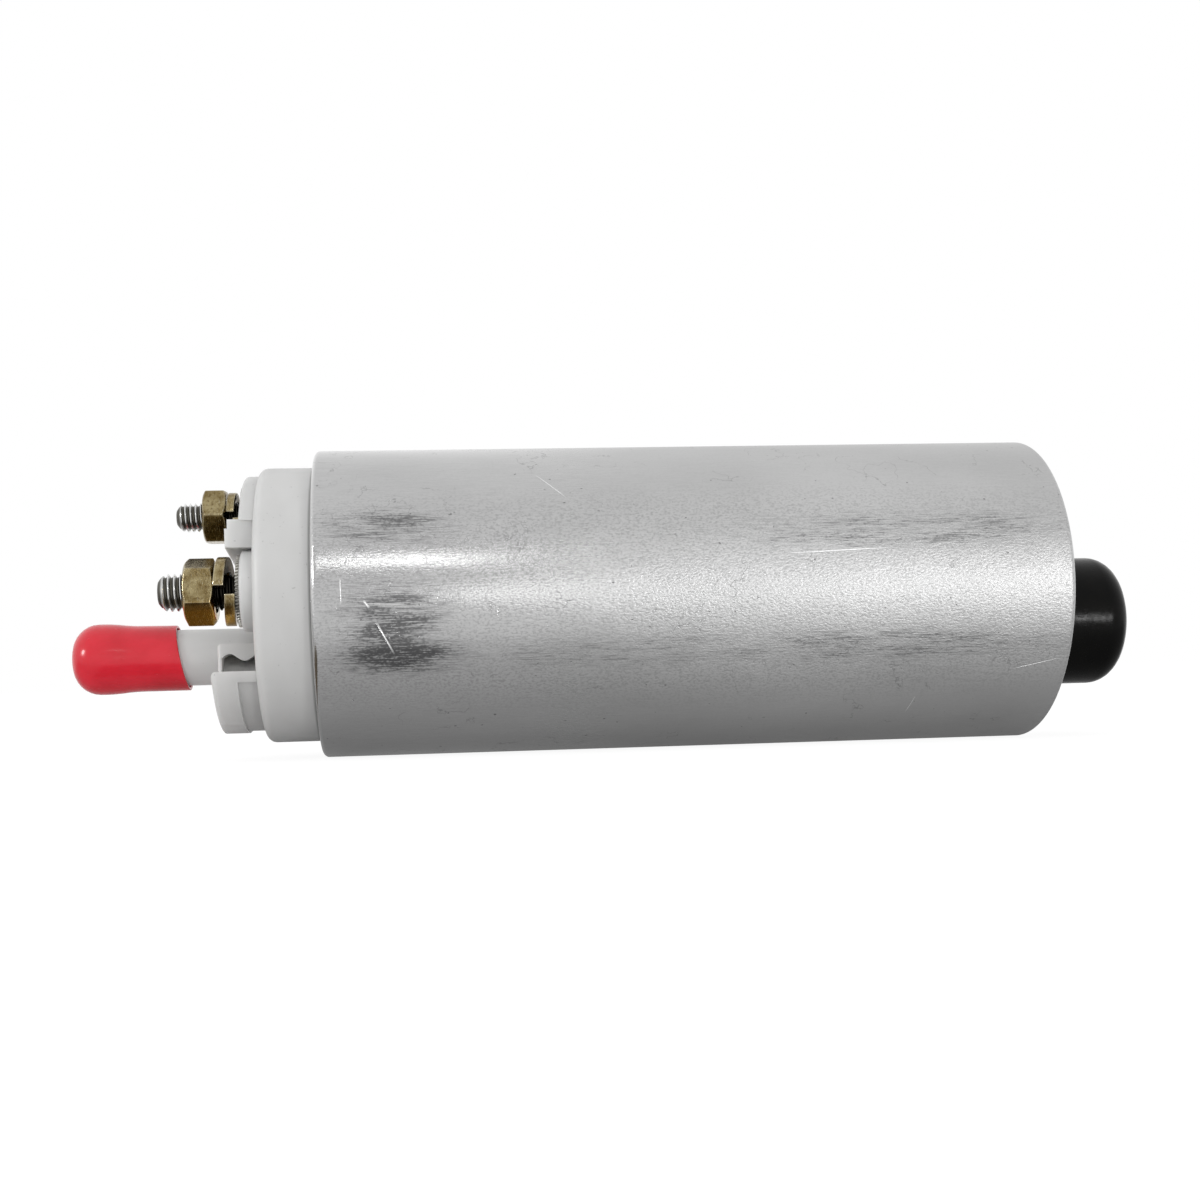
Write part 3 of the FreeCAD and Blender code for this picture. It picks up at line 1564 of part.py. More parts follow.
def build_caps():
    """The red cap on the outlet tube and the black cap on the inlet spigot."""
    outer = "outlet_cap_radius + outlet_cap_wall"
    bulb = f"{outer} + outlet_bulb_rise"
    bulb_end = "outlet_cap_end + outlet_bulb_length"
    red = turned(
        "red_cap",
        [
            ("outlet_cap_end", "0"),
            ("outlet_cap_end", bulb),
            (f"{bulb_end} - outlet_bulb_blend / 2", bulb),
            (f"{bulb_end} + outlet_bulb_blend / 2", outer),
            ("outlet_cap_end + outlet_cap_grip", outer),
            ("outlet_cap_end + outlet_cap_grip", "outlet_cap_radius"),
            ("tube_end - outlet_cap_gap", "outlet_cap_radius"),
            ("tube_end - outlet_cap_gap", "0"),
        ],
        [
            ("outlet_cap_end", bulb, "outlet_tip_corner"),
            (f"{bulb_end} - outlet_bulb_blend / 2", bulb, "outlet_bulb_blend"),
        ],
    )
    place(red, "0", "tube_side", "tube_level")
    node(red, "outlet_cap")

    outer = "inlet_cap_radius + inlet_cap_wall"
    black = turned(
        "black_cap",
        [
            ("nose_face + inlet_cap_clear", "inlet_cap_radius"),
            ("nose_face + inlet_cap_clear", outer),
            ("inlet_cap_end", outer),
            ("inlet_cap_end", "0"),
            ("spigot_end + inlet_cap_gap", "0"),
            ("spigot_end + inlet_cap_gap", "inlet_cap_radius"),
        ],
        [("inlet_cap_end", outer, "inlet_cap_corner")],
    )
    place(black, "0", "0", "inlet_level")
    node(black, "inlet_cap")


build_can()
build_outlet_cover()
build_terminal("plus", "positive")
build_terminal("minus", "negative")
build_check_valve()
build_relief_valve()
build_seals()
build_brush_gear()
build_armature()
build_bearings()
build_field()
build_pump()
build_inlet()
build_caps()
document.recompute()

for thing in document.Objects:
    if {"Invalid", "Error"} & set(thing.State):
        raise RuntimeError(f"{thing.Label} did not compute: {thing.State}")
for piece in nodes:
    if piece.Shape.isNull() or not piece.Shape.isValid():
        raise RuntimeError(f"{piece.Label} has no valid shape")

os.makedirs("parts", exist_ok=True)
for piece in nodes:
    piece.Shape.exportStep(f"parts/{piece.Label}.step")
    print(f"{piece.Label}: {len(piece.Shape.Solids)} solid(s), {piece.Shape.Volume:.1f} mm3")
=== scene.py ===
# %% [markdown]
# # An electric fuel pump, finished in Blender
# The pump was built in CAD, and its solids are packed as a fixed frame. This lesson loads
# that frame, models the small pieces that deserve more than a CAD solid (threads, nuts,
# washers, springs and caps), gives every piece the finish of the real one, and lights it
# all as a small studio would. A part's place comes from the frame, so nothing is fitted
# by eye.

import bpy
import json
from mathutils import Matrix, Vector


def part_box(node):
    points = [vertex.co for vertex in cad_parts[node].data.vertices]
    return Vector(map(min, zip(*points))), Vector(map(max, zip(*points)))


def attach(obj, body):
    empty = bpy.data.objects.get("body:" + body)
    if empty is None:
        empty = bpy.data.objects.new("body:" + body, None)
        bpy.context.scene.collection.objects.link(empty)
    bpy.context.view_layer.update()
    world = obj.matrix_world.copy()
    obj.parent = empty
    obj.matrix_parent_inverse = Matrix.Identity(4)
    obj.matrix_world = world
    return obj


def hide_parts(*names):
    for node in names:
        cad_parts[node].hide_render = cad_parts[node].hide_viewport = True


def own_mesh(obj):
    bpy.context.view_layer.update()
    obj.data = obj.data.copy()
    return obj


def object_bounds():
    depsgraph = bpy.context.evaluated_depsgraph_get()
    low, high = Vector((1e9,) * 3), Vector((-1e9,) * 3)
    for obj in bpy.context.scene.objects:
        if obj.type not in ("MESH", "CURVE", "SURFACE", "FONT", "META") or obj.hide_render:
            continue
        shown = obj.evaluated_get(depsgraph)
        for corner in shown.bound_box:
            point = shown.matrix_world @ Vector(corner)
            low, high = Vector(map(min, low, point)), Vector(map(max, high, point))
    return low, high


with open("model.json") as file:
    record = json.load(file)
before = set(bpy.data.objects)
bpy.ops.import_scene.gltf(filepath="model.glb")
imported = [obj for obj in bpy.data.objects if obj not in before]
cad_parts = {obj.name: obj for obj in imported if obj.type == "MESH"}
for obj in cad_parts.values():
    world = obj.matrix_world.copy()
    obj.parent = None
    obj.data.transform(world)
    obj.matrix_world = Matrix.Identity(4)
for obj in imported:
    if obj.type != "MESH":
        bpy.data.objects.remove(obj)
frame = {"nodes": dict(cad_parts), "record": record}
cad_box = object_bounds()

# %% The modules and the unit of this lesson
import json
import math

import bmesh
import bpy
from mathutils import Matrix, Vector, noise

MM = 0.001
scene = bpy.context.scene
scene.view_settings.view_transform = "Standard"
print("a millimetre is", MM)

# %% [markdown]
# ## The camera
# The photograph was taken from close by, a little left of the pump's middle and just below
# its axis, with the pump turned by five degrees. A camera could be aimed with a constraint,
# but the place below was worked out from the can's outline, so it is set as a matrix. The
# lens shift keeps the can's lines upright, as the photograph does.

# %% Camera
CAMERA_AT = Vector((-0.03755, -0.21545, -0.01081))
CAMERA_LOOKS = Vector((0.09383, 0.99559, -0.00253)).normalized()
CAMERA_TOP = Vector((0.0270, 0.0, 0.99964))
SENSOR_WIDTH, FOCAL_LENGTH = 36, 45.246
LENS_SHIFT = (0.0348, 0.0658)
NEAREST, FURTHEST = 0.01, 20

lens = bpy.data.cameras.new("camera")
lens.sensor_width = SENSOR_WIDTH
lens.lens = FOCAL_LENGTH
lens.shift_x, lens.shift_y = LENS_SHIFT
lens.clip_start, lens.clip_end = NEAREST, FURTHEST
camera = bpy.data.objects.new("camera", lens)
scene.collection.objects.link(camera)
side = CAMERA_LOOKS.cross(CAMERA_TOP).normalized()
axes = Matrix((side, side.cross(CAMERA_LOOKS), -CAMERA_LOOKS)).transposed()
camera.matrix_world = Matrix.Translation(CAMERA_AT) @ axes.to_4x4()
scene.camera = camera
print(f"camera {CAMERA_AT.length / MM:.0f} mm from the pump's middle")

# %% [markdown]
# ## Making a piece out of a mesh
# A bmesh is a mesh being worked on. When its shape is done it becomes an object that sits
# at the origin, with its place in its vertices, and that says which body it moves with and
# which CAD node it stands for. One function does that for every piece, so that none is
# forgotten.

# %% From mesh to piece
WELD = 0.002 * MM
replaced = {}


def new_piece(mesh_in_work, node, body, smooth_below):
    """The piece that stands for a CAD node, smooth where it bends by fewer degrees."""
    bmesh.ops.remove_doubles(mesh_in_work, verts=mesh_in_work.verts, dist=WELD)
    bmesh.ops.recalc_face_normals(mesh_in_work, faces=mesh_in_work.faces)
    open_edges = sum(edge.is_boundary for edge in mesh_in_work.edges)
    mesh = bpy.data.meshes.new(f"{node}_detailed")
    mesh_in_work.to_mesh(mesh)
    mesh_in_work.free()
    mesh.shade_smooth()
    mesh.set_sharp_from_angle(angle=math.radians(smooth_below))
    piece = bpy.data.objects.new(mesh.name, mesh)
    piece.modifiers.new("flat_faces_look_flat", "WEIGHTED_NORMAL").keep_sharp = True
    scene.collection.objects.link(piece)
    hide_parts(node)
    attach(piece, body)
    replaced[node] = piece
    print(f"{piece.name}: {len(mesh.polygons)} faces, {open_edges} open edges")
    return piece


# %% Where a terminal or a tube has its axis
def axis_of(node):
    """The middle of a node, seen along X."""
    low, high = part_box(node)
    return Vector((0, (low.y + high.y) / 2, (low.z + high.z) / 2))


print("the larger terminal's axis:", axis_of("positive_stud"))

# %% [markdown]
# ## Turned shapes
# Studs, caps and collars are turned on a lathe or moulded in a turned mould. In Blender
# such a shape is a line of points that is spun round an axis. The corners are rounded
# first, with a vertex bevel on the line itself, which is easier than bevelling a solid.

# %% Spin a profile round the X axis
def profile_line(work, points, closed=False):
    """A line of edges through points of (x, distance from the axis)."""
    verts = [work.verts.new((x, 0, radius)) for x, radius in points]
    for pair in zip(verts, verts[1:] + (verts[:1] if closed else [])):
        work.edges.new(pair)
    return verts


def spun(work, angle, steps, climb=0.0, full_turn=False):
    """Spins a line or a face round the X axis, climbing a little with each step."""
    bmesh.ops.spin(work, geom=work.verts[:] + work.edges[:], cent=(0, 0, 0), axis=(1, 0, 0),
                   dvec=(climb, 0, 0), angle=angle, steps=steps, use_merge=full_turn)


def turned(profile, steps, segments):
    """A solid of revolution from rows of x, radius and the corner's rounding."""
    work = bmesh.new()
    points = profile_line(work, [(x, radius) for x, radius, _ in profile])
    for point, (*_, rounding) in zip(points, profile):
        if rounding:
            bmesh.ops.bevel(work, geom=[point], offset=rounding, segments=segments,
                            profile=0.5, affect="VERTICES", material=-1)
    spun(work, math.tau, steps, full_turn=True)
    bmesh.ops.remove_doubles(work, verts=work.verts, dist=WELD)
    return work


# %% What several pieces need while they are shaped
def off_axis(vert):
    """How far a point lies from the X axis."""
    return math.hypot(vert.co.y, vert.co.z)


def close_holes(work):
    """Puts a face on every open end."""
    bmesh.ops.holes_fill(work, edges=[edge for edge in work.edges if edge.is_boundary])


def round_edges(work, radius, sharper_than, outside=0.0, clamp=False):
    """Rounds the edges that bend by more degrees and lie outside a distance."""
    sharp = [edge for edge in work.edges
             if edge.calc_face_angle(0) > math.radians(sharper_than)
             and min(off_axis(vert) for vert in edge.verts) > outside]
    bmesh.ops.bevel(work, geom=sharp, offset=radius, segments=3, profile=0.5,
                    affect="EDGES", material=-1, clamp_overlap=clamp)


# %% [markdown]
# ## Threads
# A screw thread is a profile that climbs as it turns. It could be faked with bump, but the
# studs stand out against the white and their silhouette shows the crests, so the thread is
# real: one pitch of the metric profile is spun many turns with a small step along the axis
# each time, which joins up with itself. Two cuts then give it flat ends, and the tip is
# pressed in to a chamfer, as a rolled stud has it.

# %% A threaded rod
STEPS_PER_TURN = 40
ROOT_SHARE = 0.6134
THREAD_WELD = 0.004 * MM
SPARE_TURNS = 2
CHAMFER_SLOPE = 0.75
THREAD_PROFILE = (
    # share of the pitch, share of the thread's depth below its crest
    (0, 1), (0.25, 1), (0.4062, 0.5), (0.5625, 0), (0.6875, 0), (0.8438, 0.5), (1, 1),
)


def threaded(start, end, crest, pitch):
    """A metric thread along X between two flat ends."""
    work = bmesh.new()
    profile_line(work, [(start + (share - SPARE_TURNS) * pitch,
                         crest - below * ROOT_SHARE * pitch)
                        for share, below in THREAD_PROFILE])
    turns = math.ceil((end - start) / pitch) + 2 * SPARE_TURNS
    spun(work, math.tau * turns, STEPS_PER_TURN * turns, climb=pitch / STEPS_PER_TURN)
    bmesh.ops.remove_doubles(work, verts=work.verts, dist=THREAD_WELD)
    for place, outward in ((start, -1), (end, 1)):
        bmesh.ops.bisect_plane(work, geom=work.verts[:] + work.edges[:] + work.faces[:],
                               plane_co=(place, 0, 0), plane_no=(outward, 0, 0),
                               clear_outer=True)
    close_holes(work)
    return work


def press_tip(work, tip, crest, chamfer):
    """Presses a thread's tip in to a chamfer that runs out smoothly."""
    for vert in work.verts:
        share = max(0, 1 - (vert.co.x - tip) / chamfer)
        allowed = crest - chamfer * CHAMFER_SLOPE * share * share
        ring = off_axis(vert)
        if ring > allowed:
            vert.co.yz = vert.co.yz * (allowed / ring)


# %% [markdown]
# ## Nuts
# A nut is a hexagon bar, faced off with a cone at both ends, so each flat ends in a curve.
# A cylinder with six sides wouldn't have that curve. Here rings of points are drawn, each
# with its own radius and height at every angle, and neighbouring rings are bridged. Last,
# the edges get the narrow rounding that catches the light.

# %% Rings bridged into a solid
def even(value):
    """A measure that is the same at every angle."""
    return lambda angle: value


def bridged(rings, turn, ring_points):
    """A closed ring of faces through rings of (x, radius) functions of the angle."""
    work = bmesh.new()
    loops = []
    for along, radius in rings:
        made = bmesh.ops.create_circle(work, segments=ring_points, radius=1)["verts"]
        for vert in made:
            angle = math.atan2(vert.co.y, vert.co.x) + turn
            vert.co = (along(angle), math.cos(angle) * radius(angle),
                       math.sin(angle) * radius(angle))
        loops.append(list({edge for vert in made for edge in vert.link_edges}))
    for near, far in zip(loops, loops[1:] + loops[:1]):
        bmesh.ops.bridge_loops(work, edges=near + far)
    return work


# %% A hexagon nut with chamfered faces
NUT_POINTS = 72
SIDE_ANGLE = math.radians(60)
FACE_SHARE = 0.95
FACE_SLOPE = 0.508
COUNTERSINK = 1.1
EDGE_ROUNDING = 0.12 * MM
JUST_OUTSIDE = 1.001


def hexagon_nut(node, flats, bore, corner_angle):
    """The nut in the place of a CAD nut, with a countersunk bore."""
    low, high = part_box(node)
    middle, half = (low.x + high.x) / 2, (high.x - low.x) / 2
    flat, turn = flats / 2, math.radians(corner_angle)
    face, mouth = flat * FACE_SHARE, bore * COUNTERSINK

    def hexagon(angle):
        return flat / math.cos((angle - turn) % SIDE_ANGLE - SIDE_ANGLE / 2)

    def cone(sign):
        return lambda angle: middle + sign * (half - (hexagon(angle) - face) * FACE_SLOPE)

    rings = []
    for sign in (-1, 1):
        end = even(middle + sign * half)
        depth = even(middle + sign * (half - mouth + bore))
        walls = [(depth, even(bore)), (end, even(mouth)), (end, even(face)),
                 (cone(sign), hexagon)]
        rings += walls[::-sign]
    work = bridged(rings, turn, NUT_POINTS)
    round_edges(work, EDGE_ROUNDING, sharper_than=20, outside=face * JUST_OUTSIDE,
                clamp=True)
    bmesh.ops.translate(work, verts=work.verts, vec=axis_of(node))
    return work


# %% [markdown]
# ## The two terminals
# The plus terminal is M5 and the minus terminal M4, so that a ring tongue can't go on the
# wrong one. Each stud runs back through the moulding to a round head inside the cover.

# %% A stud
STUD_CHAMFER = 1.3 * MM
HEAD_THICK = 1.5 * MM
HEAD_ROUNDING = 0.2 * MM
SHANK_STEPS, SHANK_SEGMENTS = 48, 5


def terminal_stud(node, radius, pitch, head, land):
    """A stud, threaded as far as the land, with a plain shank and head behind it."""
    low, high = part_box(node)
    neck = high.x - HEAD_THICK
    stud = threaded(low.x, land, radius, pitch)
    press_tip(stud, low.x, radius, STUD_CHAMFER)
    shank = turned([(land, 0, 0), (land, radius, 0), (neck, radius, 0), (neck, head, 0),
                    (high.x, head, HEAD_ROUNDING), (high.x, 0, 0)],
                   SHANK_STEPS, SHANK_SEGMENTS)
    inner = bpy.data.meshes.new("shank")
    shank.to_mesh(inner)
    shank.free()
    stud.from_mesh(inner)
    bmesh.ops.translate(stud, verts=stud.verts, vec=axis_of(node))
    return stud


# %% Studs and nuts
TERMINALS = (
    # pole, thread radius, pitch, head radius, land, nut across flats, a corner's angle
    ("positive", 2.5 * MM, 0.8 * MM, 4.0 * MM, -60.15 * MM, 8 * MM, 20.7),
    ("negative", 2.0 * MM, 0.7 * MM, 3.5 * MM, -60.3 * MM, 7 * MM, 0.0),
)
NUT_CLEARANCE = 0.03 * MM

for pole, radius, pitch, head, land, flats, corner_angle in TERMINALS:
    stud = terminal_stud(f"{pole}_stud", radius, pitch, head, land)
    new_piece(stud, f"{pole}_stud", "housing", smooth_below=50)
    nut = hexagon_nut(f"{pole}_nut", flats, radius + NUT_CLEARANCE, corner_angle)
    new_piece(nut, f"{pole}_nut", "housing", smooth_below=24)

# %% [markdown]
# ## Split lock washers
# A spring washer is one turn of square wire, cut through and sprung open, so its two ends
# don't meet. A square face is spun almost all the way round, climbing a little with each
# step, and its edges are rounded as rolled wire is.

# %% Split lock washers
WASHER_CUT = 14
WASHER_STEPS = 72
WASHERS = (
    # pole, bore radius, outer radius, wire thickness, rise of the free ends
    ("positive", 2.6 * MM, 4.6 * MM, 1.4 * MM, 1.5 * MM),
    ("negative", 2.1 * MM, 3.35 * MM, 1.1 * MM, 0.9 * MM),
)


def split_washer(node, bore, outer, thick, rise):
    """A split washer that fills its CAD node's length, its cut on the camera's side."""
    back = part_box(node)[1].x
    front = back - thick
    work = bmesh.new()
    profile_line(work, [(front, bore), (back, bore), (back, outer), (front, outer)],
                 closed=True)
    spun(work, math.tau - math.radians(WASHER_CUT), WASHER_STEPS, climb=-rise / WASHER_STEPS)
    close_holes(work)
    bmesh.ops.recalc_face_normals(work, faces=work.faces)
    round_edges(work, EDGE_ROUNDING, sharper_than=60)
    turn = Matrix.Rotation(math.radians(90 + WASHER_CUT / 2), 4, "X")
    bmesh.ops.transform(work, matrix=turn, verts=work.verts)
    bmesh.ops.translate(work, verts=work.verts, vec=axis_of(node))
    return work


for pole, bore, outer, thick, rise in WASHERS:
    node = f"{pole}_lock_washer"
    new_piece(split_washer(node, bore, outer, thick, rise), node, "housing",
              smooth_below=40)

# %% [markdown]
# ## Serrated washers
# Under each spring washer lies a thin washer whose rim is cut into many twisted teeth that
# bite the plastic. Each tooth is a wave on the rim, and the wave on the back is shifted by
# part of a tooth against the one on the front, which gives the slanted lines.

# %% Toothed washers
TEETH_EVERY = 0.5 * MM
TOOTH_DEPTH = 0.34 * MM
TOOTH_TWIST = 0.45
TOOTH_SWELL = 0.8
FLAT_WITHIN = 1.6 * TOOTH_DEPTH
POINTS_PER_TOOTH = 8
WASHER_CLEARANCE = 0.1 * MM


def toothed_washer(node, bore):
    """A flat washer with twisted teeth, in the place of its CAD node."""
    low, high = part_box(node)
    tip = (high.z - low.z) / 2
    root = tip - FLAT_WITHIN
    teeth = round(math.tau * tip / TEETH_EVERY)

    def rim(shift):
        def radius(angle):
            wave = math.cos(angle * teeth + math.tau * shift) * TOOTH_SWELL
            return tip - TOOTH_DEPTH * (0.5 - max(-0.5, min(0.5, wave)))
        return radius

    front, back = even(low.x), even(high.x)
    rings = [(back, even(bore)), (front, even(bore)), (front, even(root)),
             (front, rim(0)), (back, rim(TOOTH_TWIST)), (back, even(root))]
    work = bridged(rings, 0, teeth * POINTS_PER_TOOTH)
    bmesh.ops.translate(work, verts=work.verts, vec=axis_of(node))
    return work


for pole, radius, *_ in TERMINALS:
    node = f"{pole}_serrated_washer"
    new_piece(toothed_washer(node, radius + WASHER_CLEARANCE), node, "housing",
              smooth_below=30)

# %% [markdown]
# ## Springs
# Four springs work inside the pump: one behind each brush, one behind the check valve and
# one behind the relief ball. A spring is a round wire that climbs as it winds, so a circle
# is spun many turns with a small step each time. As its brush or valve moves back, the
# spring gets shorter.

# %% A wound spring
WIRE_POINTS = 12
SPRING_STEPS = 36


def wound_spring(node, axis, wire_thick, turns):
    """A spring of round wire that fills its CAD node's box."""
    low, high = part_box(node)
    rise = (high[axis] - low[axis] - wire_thick) / turns
    work = bmesh.new()
    bmesh.ops.create_circle(work, segments=WIRE_POINTS, radius=wire_thick / 2)
    stand = Matrix.Rotation(math.radians(90), 4, "X")
    bmesh.ops.transform(work, matrix=stand, verts=work.verts)
    bmesh.ops.translate(work, verts=work.verts,
                        vec=(wire_thick / 2, 0, (high.z - low.z - wire_thick) / 2))
    spun(work, math.tau * turns, SPRING_STEPS * turns, climb=rise / SPRING_STEPS)
    close_holes(work)
    if axis == 1:
        bmesh.ops.transform(work, matrix=Matrix.Rotation(math.radians(90), 4, "Z"),
                            verts=work.verts)
    start = (low + high) / 2
    start[axis] = low[axis]
    bmesh.ops.translate(work, verts=work.verts, vec=start)
    return work


# %% The four springs
SPRINGS = (
    # node, joint, axis it is wound round, wire, turns, its fixed end on that axis, travel
    ("positive_brush_spring", "positive_brush_slide", 1, 0.5 * MM, 3, -16.3 * MM, 1.5 * MM),
    ("negative_brush_spring", "negative_brush_slide", 1, 0.5 * MM, 3, 16.3 * MM, 1.5 * MM),
    ("check_valve_spring", "check_valve_lift", 0, 0.4 * MM, 5, -64.7 * MM, 1.5 * MM),
    ("relief_valve_spring", "relief_ball_lift", 0, 0.5 * MM, 6, -62.85 * MM, 1.2 * MM),
)

for node, joint, axis, wire_thick, turns, fixed_end, travel in SPRINGS:
    along, anchor = Vector(), Vector()
    along[axis], anchor[axis] = 1, fixed_end
    spring = new_piece(wound_spring(node, axis, wire_thick, turns), node, "housing",
                       smooth_below=60)
    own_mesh(spring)

# %% [markdown]
# ## The two transport caps
# The red cap is soft vinyl, dipped on a pin, so it has no edge at all: a round end, a
# slight bulb and a thin open rim. The black one is moulded and stiffer. Both are spun from
# a profile with rounded corners, and then pushed about by a tiny noise, because nothing
# that soft is exactly round.

# %% The caps as they leave the mould
CAP_SEGMENTS = 8
RED_STEPS, BLACK_STEPS = 96, 112
NOSE = 3.6 * MM


def red_cap():
    """The vinyl cap with its bulb, and the radius of its hole."""
    low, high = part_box("outlet_cap")
    bulb, skin, hole = (high.z - low.z) / 2, 4.65 * MM, 4.25 * MM
    bulb_end, neck, floor = low.x + 5.6 * MM, low.x + 8.2 * MM, low.x + 1.75 * MM
    waist, rim = 1.2 * MM, 0.15 * MM
    work = turned([(low.x, 0, 0), (low.x, bulb, NOSE), (bulb_end, bulb, waist),
                   (neck, skin, waist), (high.x, skin, rim), (high.x, hole, rim),
                   (floor, hole, 0), (floor, 0, 0)], RED_STEPS, CAP_SEGMENTS)
    return work, hole


def black_cap():
    """The plain moulded cap, and the radius of its hole."""
    low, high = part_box("inlet_cap")
    skin, hole, rim = (high.z - low.z) / 2, 7.95 * MM, 0.3 * MM
    floor = high.x - 1.55 * MM
    work = turned([(high.x, 0, 0), (high.x, skin, NOSE), (low.x, skin, rim),
                   (low.x, hole, rim), (floor, hole, 0), (floor, 0, 0)],
                  BLACK_STEPS, CAP_SEGMENTS)
    return work, hole


# %% The caps as handling leaves them
DENT_FADE = 16
RIM_SHEAR, RIM_POWER = 0.18, 3
CAPS = (
    # node, how it is made, finish, depth and spacing of its dents, wall without dents
    ("outlet_cap", red_cap, "red_cap", 0.06 * MM, 9 * MM, 0.1 * MM),
    ("inlet_cap", black_cap, "black_cap", 0.05 * MM, 14 * MM, 0.2 * MM),
)


def dented(work, depth, spacing, inner):
    """Pushes the outside of a cap in and out by a smooth noise."""
    for vert in work.verts:
        ring = off_axis(vert)
        if ring > inner:
            fade = min(1, (ring / inner - 1) * DENT_FADE)
            push = noise.noise(vert.co / spacing) * depth * fade
            vert.co.yz = vert.co.yz * ((ring + push) / ring)


def askew(work):
    """Draws a cap's lower side further over its tube than its upper side."""
    tip = min(vert.co.x for vert in work.verts)
    reach = max(vert.co.x for vert in work.verts) - tip
    for vert in work.verts:
        vert.co.x -= vert.co.z * RIM_SHEAR * ((vert.co.x - tip) / reach) ** RIM_POWER


for node, make, slot, depth, spacing, spared in CAPS:
    work, hole = make()
    dented(work, depth, spacing, hole + spared)
    if make is red_cap:
        askew(work)
    bmesh.ops.translate(work, verts=work.verts, vec=axis_of(node))
    new_piece(work, node, node, smooth_below=60)

# %% [markdown]
# ## Finishes
# A finish is a Principled shader and a few patterns that feed it. Every pattern reads
# Object coordinates, which are metres in the pump's own frame, so a grain of 0.2 mm is
# 0.2 mm on every piece. Image textures could do it too, but they would need a place on
# each mesh, and these patterns need none.

# %% One node of a finish
def wire(tree, kind, inputs, output=0, **settings):
    """A shader node: its settings, its inputs (values or other nodes' outputs), its output."""
    made = tree.nodes.new("ShaderNode" + kind)
    for name, value in settings.items():
        setattr(made, name, value)
    for key, value in inputs.items():
        if isinstance(value, bpy.types.NodeSocket):
            tree.links.new(value, made.inputs[key])
        else:
            made.inputs[key].default_value = value
    return made.outputs[output]


# %% Values and colours
GRAIN_RANGE = (0.3, 0.7)


def maths(tree, first, second, operation="MULTIPLY"):
    """Two values put together."""
    return wire(tree, "Math", {0: first, 1: second}, operation=operation)


def remap(tree, value, low, high, to_low=0.0, to_high=1.0):
    """A value stretched from one range to another, and held inside it."""
    return wire(tree, "MapRange", {"Value": value, "From Min": low, "From Max": high,
                                   "To Min": to_low, "To Max": to_high})


def by_grain(tree, value, low, high):
    """A measure that goes from low to high as a grain does."""
    return remap(tree, value, *GRAIN_RANGE, low, high)


def as_colour(colour):
    """A colour with its alpha, or a node's output as it is."""
    return colour if isinstance(colour, bpy.types.NodeSocket) else (*colour, 1.0)


def tint(tree, share, first, second):
    """A colour between two colours."""
    return wire(tree, "Mix", {0: share, 6: as_colour(first), 7: as_colour(second)}, 2,
                data_type="RGBA")


# %% Patterns
def place_on(tree):
    """Object coordinates: metres in the pump's own frame."""
    return wire(tree, "TexCoord", {}, "Object")


def coordinate(tree, axis):
    """How far along X (0) or Y (1) a point lies."""
    return wire(tree, "SeparateXYZ", {0: place_on(tree)}, axis)


def grain(tree, size, stretch=(1, 1, 1), detail=3.0, shift=0.0):
    """Noise with blotches of size millimetres, drawn out along the axes by stretch."""
    drawn = wire(tree, "Mapping", {"Vector": place_on(tree), "Location": (shift,) * 3,
                                   "Scale": [1 / length for length in stretch]})
    return wire(tree, "TexNoise", {"Vector": drawn, "Detail": detail,
                                   "Scale": 1 / (size * MM)}, "Fac")


def relief(tree, height, depth, under=None):
    """A bump of depth millimetres, on top of another one."""
    inputs = {"Height": height, "Distance": depth * MM, "Strength": 1.0}
    if under:
        inputs["Normal"] = under
    return wire(tree, "Bump", inputs)


# %% Where edges are sharp
LEANS_ON_FLAT, LEANS_ON_EDGE = 0.995, 0.93


def sharp_edges(tree, width):
    """1 on sharp edges and 0 on flats, where a rounded edge would leave the true one."""
    rounded = wire(tree, "Bevel", {"Radius": width * MM}, samples=6)
    flat = wire(tree, "NewGeometry", {}, "True Normal")
    turned_by = wire(tree, "VectorMath", {0: rounded, 1: flat}, "Value",
                     operation="DOT_PRODUCT")
    return remap(tree, turned_by, LEANS_ON_FLAT, LEANS_ON_EDGE)


# %% A finish and what feeds it
def new_finish(name, **sockets):
    """An empty finish, with the values that are the same all over it."""
    material = bpy.data.materials.new(name)
    material.use_nodes = True
    shader = material.node_tree.nodes["Principled BSDF"]
    for socket, value in sockets.items():
        shader.inputs[socket.replace("_", " ")].default_value = value
    return material, material.node_tree, shader


def feed(tree, shader, **patterns):
    """Leads patterns into the shader."""
    for socket, value in patterns.items():
        tree.links.new(value, shader.inputs[socket.replace("_", " ")])


# %% [markdown]
# ## The everyday finishes
# Most pieces are a metal, a plastic or a magnet with its own grain. What tells them apart
# is the size and direction of that grain, how much the colour wanders, and how rough the
# surface is. One function takes those as a row of a table.

# %% A table of finishes
STAIN_SIZE = 14
STAIN_SHIFT = 0.031
SUM_RANGE = (0.7, 1.3)


def everyday(name, dark, light, metal, rough, size, depth, stretch=(1, 1, 1)):
    """A finish that follows one fine grain, with one slower blotch in its colour."""
    material, tree, shader = new_finish(name, Metallic=metal)
    fine = grain(tree, size, stretch)
    slow = grain(tree, size * STAIN_SIZE, detail=2, shift=STAIN_SHIFT)
    shade = remap(tree, maths(tree, fine, slow, "ADD"), *SUM_RANGE)
    feed(tree, shader, Base_Color=tint(tree, shade, dark, light),
         Roughness=by_grain(tree, fine, *rough), Normal=relief(tree, fine, depth))
    return material


